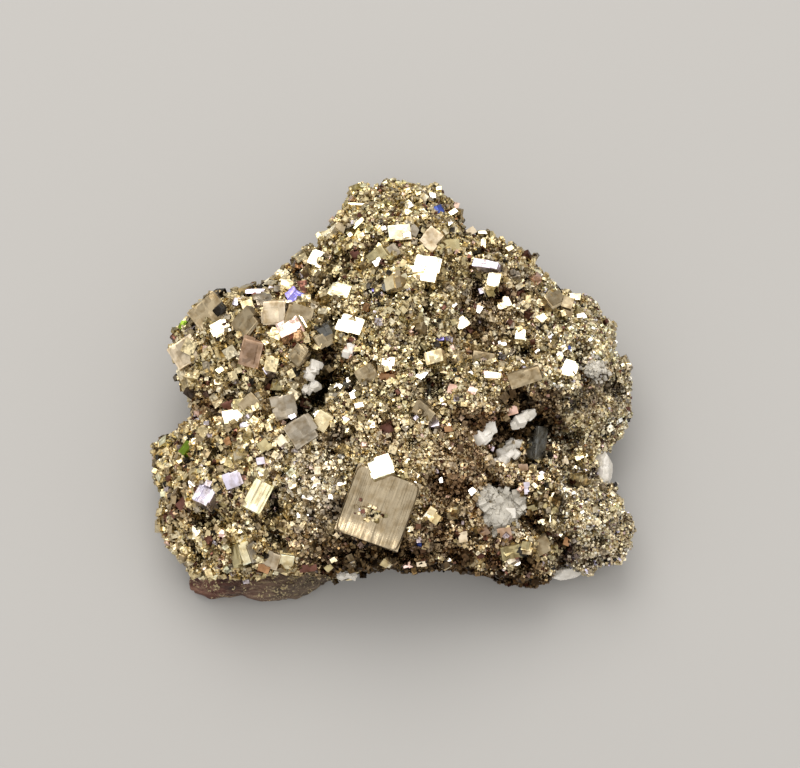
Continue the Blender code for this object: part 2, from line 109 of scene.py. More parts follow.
# Swells and hollows of the crown: x, y, radius along X, radius along Y, rise
SWELLS = [
    (1.0, 22.5, 8.5, 7.0, 2.2), (-0.5, 15.5, 5.0, 2.2, -1.8), (-17.0, 4.0, 9.0, 7.0, 2.4),
    (-28.0, 4.0, 4.0, 5.0, 2.0), (-22.5, -4.5, 6.0, 3.5, -1.6), (-8.8, -3.4, 2.4, 3.6, -6.5),
    (-11.6, -6.8, 2.8, 2.4, -5.5), (1.5, 5.5, 10.0, 9.0, 2.6), (13.5, 3.0, 8.5, 6.5, -3.8),
    (8.0, 1.5, 4.0, 3.0, -1.4), (20.5, 11.5, 6.0, 4.5, 1.2), (27.5, 3.5, 6.5, 9.0, 3.4),
    (7.0, -5.5, 6.0, 3.0, 1.4), (21.5, -3.8, 8.0, 2.6, 2.2), (-3.0, -13.0, 8.0, 7.0, 1.6),
    (-1.0, -21.5, 7.5, 6.0, 1.9), (15.5, -10.5, 4.4, 3.0, -2.6), (27.5, -20.5, 6.0, 6.5, 3.6),
    (23.6, -21.5, 1.6, 5.0, -2.6), (19.0, -23.5, 3.6, 3.0, 1.5), (-25.5, -17.0, 7.5, 9.0, 2.6),
    (-16.0, -20.5, 2.6, 5.0, -2.6), (-18.5, -25.0, 6.0, 3.0, 1.6), (9.5, -17.0, 4.0, 4.0, -1.0),
]


class Tarnish(Enum):
    """Tints of the faces of pyrite, each as the colour that a face reflects head on, except the near white
    one, which is a painted highlight.
    """

    BRASS = (0.71, 0.61, 0.39)
    PALE = (0.84, 0.76, 0.57)
    # Painted highlight: near white, lighter than pyrite, for crystals that face the key light
    WHITE = (0.97, 0.94, 0.88)
    CREAM = (0.95, 0.86, 0.58)
    TAN = (0.36, 0.29, 0.185)
    GREY = (0.32, 0.28, 0.22)
    OLIVE = (0.42, 0.36, 0.20)
    GOLD = (0.78, 0.64, 0.36)
    PINK = (0.80, 0.58, 0.52)
    ROSE = (0.66, 0.44, 0.36)
    VIOLET = (0.40, 0.36, 0.95)
    LILAC = (0.62, 0.58, 0.68)
    BLUE = (0.06, 0.09, 0.32)
    ORANGE = (0.33, 0.18, 0.09)
    RED_BROWN = (0.13, 0.06, 0.045)
    SLATE = (0.16, 0.16, 0.15)
    SOOT = (0.045, 0.04, 0.035)
    GREEN = (0.17, 0.26, 0.03)
    FAWN = (0.56, 0.47, 0.34)
    MAUVE = (0.38, 0.26, 0.18)
    UMBER = (0.335, 0.275, 0.185)


(
    BRASS, PALE, WHITE, CREAM, TAN, GREY, OLIVE, GOLD, PINK, ROSE, VIOLET,
    LILAC, BLUE, ORANGE, RED_BROWN, SLATE, SOOT, GREEN, FAWN, MAUVE, UMBER,
) = Tarnish


@dataclass(frozen=True)
class Crystal:
    """One crystal with a place of its own on the crown: lengths in mm, angles in degrees."""

    x: float
    y: float
    along: float
    across: float
    deep: float
    twist: float
    compass: float
    lean: float
    rise: float
    tarnish: Tarnish = BRASS
    dullness: float = 0.2


class Facing(Enum):
    """How the top face of a small crystal lies: compass angle and lean in degrees.

    GLINT lies halfway between the key light and the camera, so it shines white. SHEEN
    is a few degrees off it and OPEN faces the ceiling. SHY leans to the floor.
    """

    GLINT = (121, 9)
    SHEEN = (150, 17)
    OPEN = (262, 16)
    SHY = (255, 42)


GLINT, SHEEN, OPEN, SHY = Facing


@dataclass(frozen=True)
class Accent:
    """A small crystal that stands out, on the line of sight through a pixel.

    Attributes:
        column: Column of the photograph's 800 by 768 frame.
        row: Row of that frame.
        along: First edge of its top face in mm.
        across: Second edge of its top face in mm.
        twist: Turn of its top face in degrees.
        facing: How its top face lies.
        tarnish: Its tint.
        rise: Height of its top face over the crown in mm.
    """

    column: float
    row: float
    along: float
    across: float
    twist: float
    facing: Facing = GLINT
    tarnish: Tarnish = WHITE
    rise: float = 0.95


@dataclass(frozen=True)
class StainAndShade:
    """A stretch of crust drawn to one colour round the line of sight of a pixel. The brown and pale ones are
    stains of the crust; the near-black ones are painted shadow in fissures and pits.
    """

    column: float
    row: float
    radius: float
    colour: tuple[float, float, float]
    amount: float


@dataclass(frozen=True)
class Hollow:
    """A dark gap in the crust, on the line of sight through a pixel; lengths in mm."""

    column: float
    row: float
    radius: float
    depth: float


STRIATED_CUBE = Crystal(-1.6, -21.0, 9.6, 8.8, 7.0, 70, 270, 17, 0.9, UMBER, 0.24)

MEDIUM_STRIATED_CUBE = Crystal(-17.6, -18.7, 4.5, 2.9, 3.4, 64, 300, 24, 1.9, CREAM, 0.28)

CRYSTALS = [Crystal(*row) for row in (
    (-1.2, -16, 3.4, 3, 3, 20, 121, 9, 1.7, PALE, 0.1),
    (-25, 7.6, 5.2, 4.8, 4.4, 38, 250, 14, 1.9, TAN),
    (-23.2, 5, 2.6, 2.2, 2.4, 30, 121, 9, 1.4, PALE, 0.1),
    (-28.4, 2.6, 4.2, 4, 3.6, 32, 230, 14, 1.1, FAWN, 0.55),
    (-15.6, 5.6, 3.4, 3.6, 4, 2, 265, 20, 2, FAWN, 0.3),
    (-12.3, 4.8, 4, 3.4, 3.6, 166, 300, 24, 1.5, TAN, 0.25),
    (-13.8, 3.6, 3.2, 2.6, 2.8, 25, 138, 15, 2, PINK, 0.16),
    (-18.8, 0.4, 4.2, 3.4, 4, 74, 240, 26, 1.7, MAUVE, 0.35),
    (-19.6, 4.6, 3.6, 3.2, 3.2, 40, 200, 34, 1.4, TAN, 0.3),
    (-17.2, 8.6, 2.6, 2.2, 3, 15, 80, 24, 1.2, GREY),
    (-12.8, 9, 2.6, 1.8, 2.4, 60, 60, 22, 1.3, VIOLET, 0.12),
    (-6.8, 9.6, 3.2, 2.2, 2.6, 160, 150, 19, 1.4, CREAM, 0.22),
    (-5.2, 3.8, 3.6, 2.8, 2.6, 160, 121, 9, 1.3, PALE, 0.1),
    (-8.8, 1.8, 2.6, 2, 2.4, 35, 330, 28, 1.2, TAN),
    (-12.4, -0.2, 2.8, 2.2, 2.6, 50, 210, 24, 1.1, TAN),
    (-11.8, -11, 4, 4, 3.4, 33, 265, 18, 1.6, GREY, 0.3),
    (-14.2, -7, 3.3, 3.6, 3.4, 14, 280, 12, 1.3, GREY, 0.35),
    (-18.8, -6.2, 2.8, 2.6, 2.6, 42, 240, 20, 1.2, TAN, 0.25),
    (-9, -9.6, 2.8, 2.4, 2.4, 55, 250, 24, 1, BRASS),
    (-21.2, -7.8, 2.8, 2, 2.2, 8, 121, 9, 1.2, PALE, 0.1),
    (4.8, 12.2, 4, 3.8, 3.4, 78, 121, 9, 1.5, PALE, 0.1),
    (1.2, 18.2, 3.4, 2.2, 3, 5, 265, 12, 1.2, PALE, 0.4),
    (5.6, 17.2, 3, 2.6, 3, 50, 250, 14, 0.9, FAWN, 0.5),
    (-1.6, 14.2, 3, 2.6, 2.8, 35, 230, 26, 1, OLIVE),
    (-7.8, 20.2, 3.6, 1.6, 2.4, 52, 80, 24, 0.9, PALE),
    (-10.2, 16, 2.6, 2.2, 2.4, 65, 121, 9, 1.2, PALE, 0.1),
    (13, 14, 4.2, 1.2, 2.2, 163, 150, 20, 1.3, LILAC, 0.3),
    (14.2, 11.6, 2.2, 1.8, 2.4, 75, 121, 9, 1.1, PALE, 0.1),
    (15.6, 9.2, 2.1, 1.8, 2.4, 20, 121, 9, 1, PALE, 0.1),
    (9.6, 5.7, 2, 1.9, 2.4, 35, 121, 9, 1, PALE, 0.1),
    (17.8, 4.6, 1.7, 1.6, 2.4, 82, 121, 9, 1, PALE, 0.1),
    (20.8, 7, 1.2, 1.1, 2.2, 45, 121, 9, 0.9, PALE, 0.1),
    (24.2, -1, 2.4, 2.2, 2.6, 68, 121, 9, 1.2, PALE, 0.1),
    (13.6, -2.8, 2.2, 1.1, 2.2, 172, 121, 9, 1.2, PALE, 0.1),
    (18, -3.4, 5, 2.2, 3, 18, 265, 22, 1.2, TAN, 0.45),
    (12.6, 0.8, 3.4, 1.8, 2.6, 170, 275, 24, 0.7, TAN, 0.4),
    (19.4, -10, 5.2, 1.5, 2.6, 78, 200, 36, 1.4, SLATE, 0.2),
    (20, -24.4, 3.2, 2.4, 3, 30, 275, 30, 0.7, TAN, 0.45),
    (16.4, -25, 3.4, 2.2, 2.8, 12, 285, 32, 0.6, OLIVE, 0.45),
    (-20.6, -25.9, 1.5, 3.2, 3.4, 8, 200, 40, 1.3, OLIVE, 0.42),
    (-19.3, -25.9, 1.4, 3.4, 3.4, 18, 300, 34, 1.5, CREAM, 0.36),
    (-18.2, -25.8, 1.3, 2.8, 3, 30, 330, 44, 1.2, GREY, 0.38),
    (-16, -26.4, 2.6, 2.6, 3.4, 160, 250, 30, 1.3, FAWN, 0.38),
    (-13.9, -26.5, 2.3, 2.2, 3.2, 172, 275, 38, 1.1, CREAM, 0.4),
    (-24.8, -18.4, 3, 2.6, 2.6, 62, 148, 17, 1.5, LILAC, 0.2),
    (-20.8, -16.8, 2.6, 2.2, 2.4, 20, 262, 16, 1.3, LILAC, 0.4),
    (-27.8, -11, 2.2, 1.4, 2, 52, 160, 24, 1.1, GREEN, 0.25),
    (-3.2, -3.2, 3, 2.4, 2.6, 28, 250, 28, 1, TAN, 0.25),
    (4.4, -8.4, 3.2, 2.2, 2.6, 140, 240, 30, 1, TAN, 0.25),
    (5.8, -0.6, 2.8, 2, 2.4, 10, 200, 20, 1.1, BRASS), (22.6, 9.6, 3, 2.4, 2.6, 35, 40, 24, 1.1, TAN),
)]

ACCENTS = [Accent(*row) for row in (
    (291.5, 294, 2, 1.7, 25, SHEEN, VIOLET, 1.5), (236, 301.5, 1.3, 1, 70, SHEEN, LILAC, 1.5),
    (255, 291, 3.2, 0.8, 178, GLINT, LILAC, 1.4), (218.5, 311, 1.7, 1.4, 38, SHY, SOOT, 2.55),
    (277, 304, 3.2, 0.6, 8, SHEEN, CREAM, 2.3), (300, 325, 2.4, 0.35, 122, OPEN, ROSE, 2.2),
    (304, 322, 2.2, 0.3, 118, GLINT, CREAM, 2.1), (316.6, 346, 1.2, 0.9, 65, SHEEN, GOLD, 1.5),
    (325.4, 331, 2, 1.7, 25, SHY, SLATE, 1.5), (349.3, 349.3, 2.2, 1.8, 60, SHEEN, ROSE, 1.1),
    (346, 297, 1.6, 1.3, 65, OPEN, PALE, 1.2), (327, 366, 2.8, 2.4, 35, SHY, TAN, 1.3),
    (211.4, 374, 1, 0.9, 20, GLINT, PALE, 1.2), (220, 370, 1.1, 0.8, 40, GLINT, CREAM, 1.2),
    (234.5, 372.5, 1.2, 1.1, 65, GLINT, CREAM, 1.2), (217.8, 381.6, 1.2, 0.9, 10, GLINT, PALE, 1.1),
    (225, 387, 1.1, 0.7, 15, GLINT, PALE, 1.1), (268.8, 368.5, 1.8, 1.4, 30, SHEEN, LILAC, 1.3),
    (232, 404.4, 2.2, 1.4, 30, OPEN, RED_BROWN, 0.6), (245.7, 424.3, 2, 0.9, 2, SHEEN, LILAC, 1.1),
    (292.7, 416.3, 1, 0.7, 30, GLINT, LILAC, 1.9), (317.4, 414.7, 1.1, 0.9, 20, GLINT, CREAM, 1.3),
    (353.3, 394.8, 1.1, 1.2, 20), (358.9, 405, 1.3, 0.8, 15), (349.3, 379.6, 1, 0.8, 10),
    (338, 386, 1, 1.1, 65), (386.8, 363.7, 1.9, 1.7, 82, GLINT, WHITE, 1.1),
    (348.5, 386, 2, 1.2, 170, SHY, SLATE), (387.6, 378, 2.4, 1.2, 5, SHY, ORANGE, 0.8),
    (181.9, 325, 1.5, 1, 60, SHEEN, GREEN, 1), (186.7, 388.5, 1.6, 1.2, 80, SHEEN, PINK, 1),
    (346.9, 429.9, 0.8, 0.8, 15, SHEEN, CREAM), (386, 429, 1.7, 1.6, 30, SHY, RED_BROWN),
    (345.3, 418, 0.8, 0.8, 25, SHEEN, LILAC), (268.8, 389, 1.7, 1.3, 50, SHY, RED_BROWN, 1.2),
    (377, 262.5, 1.2, 1.1, 30, GLINT, WHITE, 1.1), (438.6, 209, 1.3, 1.3, 20, OPEN, BLUE, 1.2),
    (409.3, 205.2, 1.1, 0.9, 30), (432.9, 195.6, 0.9, 0.9, 10), (438.6, 188, 0.9, 0.7, 5, GLINT, CREAM),
    (449.5, 222.4, 0.9, 0.8, 40), (453, 211.6, 1.4, 0.8, 35, GLINT, CREAM), (383.8, 228, 0.7, 0.7, 15),
    (362, 235.8, 0.8, 0.8, 25), (350, 234.5, 0.7, 0.7, 35, GLINT, CREAM),
    (360.8, 219.8, 2.8, 0.6, 48, GLINT, CREAM, 1.1), (358, 204, 2.5, 0.45, 176, GLINT, CREAM, 1.1),
    (340.4, 228, 1.7, 1.6, 70, OPEN, TAN, 1), (327, 234, 1.6, 1.5, 30, SHEEN, CREAM, 1),
    (397.8, 231.3, 2, 1.5, 4, SHEEN, CREAM, 1.3), (406.7, 234.5, 1.2, 0.8, 15, GLINT, WHITE, 1.4),
    (411.8, 240, 1.1, 0.9, 30, SHEEN, PINK, 1.1), (414, 230, 1.9, 1.6, 65, OPEN, GREY, 1.1),
    (450.7, 245.4, 3, 2.1, 4, OPEN, OLIVE, 0.9), (483.3, 244, 1.9, 0.8, 88, GLINT, CREAM, 1.1),
    (484, 232, 1.9, 0.5, 178, GLINT, CREAM, 0.9), (471, 231, 1.5, 1.2, 30, OPEN, FAWN, 0.9),
    (510, 248, 1.1, 0.8, 30, GLINT, CREAM), (391.4, 251.7, 2.4, 2.1, 35, OPEN, GREY, 1),
    (355.7, 255.6, 1.5, 1.3, 20, SHY, RED_BROWN), (374, 289, 0.7, 0.7, 20, SHEEN, VIOLET),
    (386, 286, 1.6, 0.8, 75, OPEN, SLATE), (478.8, 309, 1.3, 1, 60), (454, 304, 0.8, 0.8, 40),
    (447, 286, 0.7, 0.8, 20, GLINT, LILAC), (489.6, 288.7, 0.7, 0.6, 20),
    (494.5, 280.5, 1.2, 1, 100, GLINT, WHITE, 1.3), (502, 342.9, 1.2, 0.8, 5),
    (580.9, 315, 1.3, 0.8, 8), (573, 296.5, 2.6, 1.2, 172, SHEEN, CREAM, 0.9),
    (552.7, 342, 0.7, 0.9, 15), (537.9, 351.7, 0.9, 0.9, 40), (560, 355, 0.9, 0.9, 25),
    (521, 362.9, 1, 0.8, 30), (471, 373.6, 0.8, 0.8, 15),
    (420.7, 374.8, 1.3, 1.2, 55, GLINT, WHITE, 1.1), (430.3, 421.9, 2, 1.6, 8, SHEEN, LILAC, 1.1),
    (447.8, 428.8, 1.1, 0.9, 10, OPEN, ORANGE, 0.9), (511.6, 410.7, 2, 1.4, 15, OPEN, ROSE, 1),
    (521, 293.5, 1.3, 1, 20, SHY, RED_BROWN), (439.9, 338, 1.2, 0.8, 5, OPEN, VIOLET),
    (452.6, 337.4, 1.3, 1.1, 80, SHY, TAN), (569, 347.7, 0.6, 0.6, 30, OPEN, BLUE),
    (436.7, 355.7, 2.3, 2, 30, OPEN, TAN, 0.9), (452.6, 389, 1.6, 1.3, 80, OPEN, ROSE, 0.9),
    (535.5, 280.7, 1.6, 1.5, 40, SHY, ROSE), (425.5, 392, 2.6, 1.5, 80, SHY, SLATE),
    (579, 456, 1.4, 1, 20, GLINT, CREAM), (372, 425, 0.8, 0.9, 10), (405.4, 425, 0.7, 0.8, 5),
    (450.6, 444.9, 0.7, 0.9, 20), (460.8, 446.8, 0.6, 0.6, 30), (441, 480.6, 0.5, 0.7, 15),
    (414.3, 484.4, 1, 0.9, 30), (472.3, 490.8, 1, 1, 40, GLINT, WHITE, 1.1),
    (341.6, 482.5, 1.3, 0.8, 15, GLINT, WHITE, 1.2), (331.4, 496.5, 0.9, 0.7, 5, GLINT, WHITE, 1.1),
    (484, 532, 1.7, 1.4, 30, SHY, MAUVE), (505.6, 532.4, 1.9, 1.4, 10, OPEN, MAUVE),
    (462.8, 537.3, 1.4, 1.6, 10, OPEN, FAWN, 0.8), (418, 545.6, 1.1, 0.6, 5, SHY, BLUE, 0.9),
    (514.4, 563, 1.5, 0.8, 170, GLINT, WHITE, 1), (562, 535, 1.1, 0.8, 140, GLINT, CREAM),
    (553.3, 549.7, 1.6, 1.2, 5, SHY, OLIVE, 0.9), (566.7, 542, 1.2, 1, 70, OPEN, ORANGE, 0.9),
    (584, 454.7, 1.1, 1, 20, GLINT, CREAM), (541, 477, 0.9, 0.8, 20, GLINT, CREAM),
    (545, 487, 0.9, 0.8, 35, GLINT, CREAM), (524, 467.4, 1.3, 1, 10, OPEN, MAUVE, 0.9),
    (527, 487, 1, 1.6, 5, OPEN, LILAC), (550.8, 497, 1.7, 0.3, 62, GLINT, PALE, 1.2),
    (549.5, 516, 2.3, 0.35, 92, SHEEN, PALE, 1.1), (540.5, 521.6, 0.8, 0.7, 20, OPEN, CREAM),
    (531.6, 508.3, 1.3, 1, 20, SHY, OLIVE, 0.8), (179.4, 460, 1, 1, 40, GLINT, CREAM),
    (194.7, 483.8, 1.9, 1, 10, GLINT, WHITE, 1.1), (182, 504, 1.9, 1.4, 40, OPEN, RED_BROWN, 0.9),
    (174.3, 514.4, 1, 1.2, 20, OPEN, RED_BROWN, 0.9), (196.7, 533, 2.1, 1.3, 88, SHEEN, PALE, 1.1),
    (223.4, 532.9, 1.4, 1.4, 80, SHEEN, PINK, 1.1), (301.9, 514.4, 1.6, 0.9, 10),
    (307, 496.5, 1.6, 0.9, 165), (314.6, 478.7, 1, 0.8, 10), (294, 474.8, 0.9, 0.8, 15, GLINT, CREAM),
    (262.3, 473.6, 0.9, 0.7, 5), (227.3, 441.7, 1, 1, 30, OPEN, ORANGE),
    (251.5, 439.8, 1.2, 0.5, 115, GLINT, GOLD), (280.8, 440.4, 1.6, 1.5, 40, OPEN, PALE, 1.1),
    (260.4, 460.8, 1.3, 1.1, 10, OPEN, LILAC), (222.8, 460.8, 1, 0.8, 15, SHEEN, PALE),
    (263.6, 445.5, 1.8, 1.7, 35, OPEN, OLIVE), (263.6, 569, 1.9, 1.1, 160, OPEN, ORANGE, 1),
    (309.5, 568, 2.4, 1.2, 5, OPEN, RED_BROWN, 1), (352, 559, 0.9, 0.8, 20),
    (407, 565, 1.3, 0.8, 15, OPEN, PINK), (421, 564, 1.4, 0.7, 8, OPEN, FAWN),
    (333, 560, 0.9, 0.7, 30, OPEN, CREAM), (329, 568, 1.2, 0.9, 40, OPEN, OLIVE),
    (366, 553, 0.6, 0.5, 10, GLINT, CREAM), (391, 559, 0.5, 0.5, 50, GLINT, CREAM),
    (449, 560, 0.6, 0.5, 25),
)]

HOLLOWS = [Hollow(*row) for row in (
    (314, 395, 1.7, 1.9), (305, 403, 1.4, 1.2), (624, 396, 0.7, 1.3), (609, 390, 0.7, 1.3),
    (455, 271, 1.2, 2), (481, 323, 1.1, 1.7), (437, 290, 0.7, 1.4), (401, 282, 0.7, 1.4),
    (376, 243, 0.8, 1.7), (385, 238, 0.7, 1.4), (468, 245, 0.9, 1.7), (460, 229, 0.6, 1.2),
    (506.5, 423, 0.9, 1.9), (272, 505, 1.2, 2.2), (254, 522, 1.2, 1.7), (268, 533, 0.9, 1.4),
    (286.5, 548, 0.8, 1.7), (276, 494, 0.7, 1.7), (202.5, 514.5, 0.7, 1.4), (210, 525, 0.7, 1.4),
    (233, 545, 0.7, 1.4), (612, 526, 0.7, 1.5), (618, 524, 0.6, 1.5), (418, 468.5, 0.7, 1.4),
    (440, 488, 1, 1.2), (455, 497, 0.9, 1.1), (420, 508, 0.8, 1), (214, 408, 1.2, 1.5),
    (226, 397, 0.8, 1.4), (299, 416, 0.9, 1.7), (424, 336, 0.9, 1.5), (497, 350, 0.7, 1),
    (520, 386, 0.9, 1.2), (602, 395, 0.8, 1.2), (615, 392, 0.9, 1.4), (475, 440, 0.7, 1.3),
    (545, 300, 0.8, 1.2), (330, 292, 0.7, 1.5), (348, 268, 0.8, 1.5), (392, 413, 0.7, 1),
    (575, 399, 0.7, 1.2), (588, 394, 0.7, 1.2), (580, 408, 0.7, 1.2), (594, 404, 0.7, 1.2),
    (616, 384, 0.8, 1.4), (575, 548, 0.9, 1.5),
)]

# Stains of the crust, and near-black patches that are painted shadow in the fissures of the right bulge, in
# the pit and under the terrace edge
STAINS_AND_SHADE = [StainAndShade(*row) for row in (
    (597.0, 372.0, 1.7, (0.93, 0.91, 0.84), 0.95), (470.0, 455.0, 4.0, (0.30, 0.18, 0.10), 0.5),
    (450.0, 500.0, 4.0, (0.28, 0.17, 0.09), 0.5), (430.0, 530.0, 3.0, (0.30, 0.19, 0.11), 0.4),
    (214.0, 405.0, 3.0, (0.22, 0.11, 0.07), 0.55), (500.0, 300.0, 3.2, (0.24, 0.13, 0.09), 0.4),
    (480.0, 330.0, 3.2, (0.22, 0.13, 0.09), 0.4), (386.0, 430.0, 2.0, (0.22, 0.11, 0.07), 0.5),
    (300.0, 545.0, 3.0, (0.24, 0.13, 0.08), 0.5), (573.0, 551.0, 2.0, (0.08, 0.04, 0.035), 0.85),
    (500.0, 545.0, 3.0, (0.26, 0.14, 0.10), 0.4), (180.0, 508.0, 1.6, (0.18, 0.07, 0.05), 0.6),
    (310.0, 480.0, 5.5, (0.95, 0.88, 0.74), 0.45), (314.0, 397.0, 1.7, (0.03, 0.025, 0.02), 0.85),
    (596.0, 402.0, 2.4, (0.40, 0.22, 0.11), 0.5), (570.0, 402.0, 1.4, (0.035, 0.028, 0.022), 0.96),
    (583.0, 396.0, 1.4, (0.035, 0.028, 0.022), 0.96), (596.0, 389.0, 1.3, (0.035, 0.028, 0.022), 0.96),
    (608.0, 381.0, 1.2, (0.035, 0.028, 0.022), 0.94), (616.0, 390.0, 1.7, (0.04, 0.025, 0.022), 0.96),
    (576.0, 410.0, 1.1, (0.05, 0.04, 0.03), 0.9), (588.0, 406.0, 1.1, (0.05, 0.04, 0.03), 0.9),
    (618.0, 525.0, 0.9, (0.06, 0.04, 0.03), 0.8),
)]

# Whitish bits of quartz among the crystals: column, row, radii, twist, height over the crown
QUARTZ_BITS = [
    (311.8, 370.0, 1.3, 1.0, 1.1, 60, 1.5),
    (310.2, 388.0, 1.1, 0.8, 0.9, 20, 1.0),
    (349.5, 351.0, 0.9, 0.7, 0.8, 50, 0.9),
]

# Bits on the front flank: name, x, y, z, radii, twist
FLANK_BITS = [
    ("quartz_bit_flank", -5.7, -27.6, 9.6, 1.15, 0.7, 0.7, 10),
]

# Quartz set in the mass: x, y, radii, twist, height of its middle above the crown
QUARTZ = {
    "quartz_patch": (14.0, -19.3, 3.0, 2.6, 1.9, 20, 0.0),
    "quartz_chip_left": (12.6, -9.6, 1.6, 1.3, 1.3, 50, 0.45),
    "quartz_chip_middle": (16.1, -10.6, 1.5, 0.9, 1.1, 45, 0.45),
    "quartz_chip_back": (17.9, -7.4, 1.8, 1.0, 1.2, 30, 0.45),
    "quartz_chip_front": (15.4, -12.6, 2.1, 0.9, 1.1, 25, 0.5),
}
# The patch's grains: x, y, radii, how far its middle stands up, place of its crystal
PATCH = (15.0, -19.2, 3.2, 3.1, 1.1, (16.1, -19.7))

# The pale film on the right bulge: column, row and spread in pixels
FILM = (596.0, 371.0, 5.0, 5.0)

# Quartz on the flank: x, y, z, radii, twist
QUARTZ_LOW = {
    "quartz_flake": (29.4, -11.4, 6.0, 1.2, 2.6, 2.0, 8),
    "quartz_rim": (24.2, -25.8, 3.3, 2.2, 1.0, 1.5, 18),
}


def lattice_value(cells: np.ndarray, seed: int) -> np.ndarray:
    """A fixed value from 0 to 1 for each whole-number lattice point.

    The three whole numbers are multiplied by large odd numbers, added, and their
    bits mixed twice, so neighbours have unlike values.

    Args:
        cells: Lattice points, the last axis holding the three whole numbers.
        seed: Chooses another set of values.

    Returns:
        The values, one for each point.
    """
    i = cells.astype(np.int64).astype(np.uint64)
    n = (
        i[..., 0] * np.uint64(374761393)
        + i[..., 1] * np.uint64(668265263)
        + i[..., 2] * np.uint64(2246822519)
        + np.uint64(seed * 3266489917)
    )
    n = (n ^ (n >> np.uint64(13))) * np.uint64(1274126177)
    n = (n ^ (n >> np.uint64(16))) & np.uint64(0xFFFFFFFF)
    return n.astype(np.float64) / 0xFFFFFFFF


def rolling(points: np.ndarray, cell: float, seed: int) -> np.ndarray:
    """Smooth noise from -1 to 1: lattice values eased across cells of one size.

    Args:
        points: Places in mm, the last axis holding x, y and z.
        cell: Edge of a cell in mm.
        seed: Chooses another noise.

    Returns:
        The noise at each place.
    """
    at = points / cell + 64.0
    low = np.floor(at)
    share = at - low
    share = share * share * (3.0 - 2.0 * share)
    total = np.zeros(points.shape[:-1])
    for offset in np.ndindex(2, 2, 2):
        corner = np.array(offset)
        weight = np.where(corner == 1, share, 1.0 - share).prod(axis=-1)
        total += weight * lattice_value(low + corner, seed)
    return 2.0 * total - 1.0


def ease(low: float, high: float, value: np.ndarray) -> np.ndarray:
    """0 below low, 1 above high, and a smooth cubic between them."""
    t = np.clip((value - low) / (high - low), 0.0, 1.0)
    return t * t * (3.0 - 2.0 * t)


def unit(vectors: np.ndarray) -> np.ndarray:
    """The vectors on the last axis, each scaled to length 1."""
    return vectors / np.maximum(np.linalg.norm(vectors, axis=-1, keepdims=True), 1e-12)


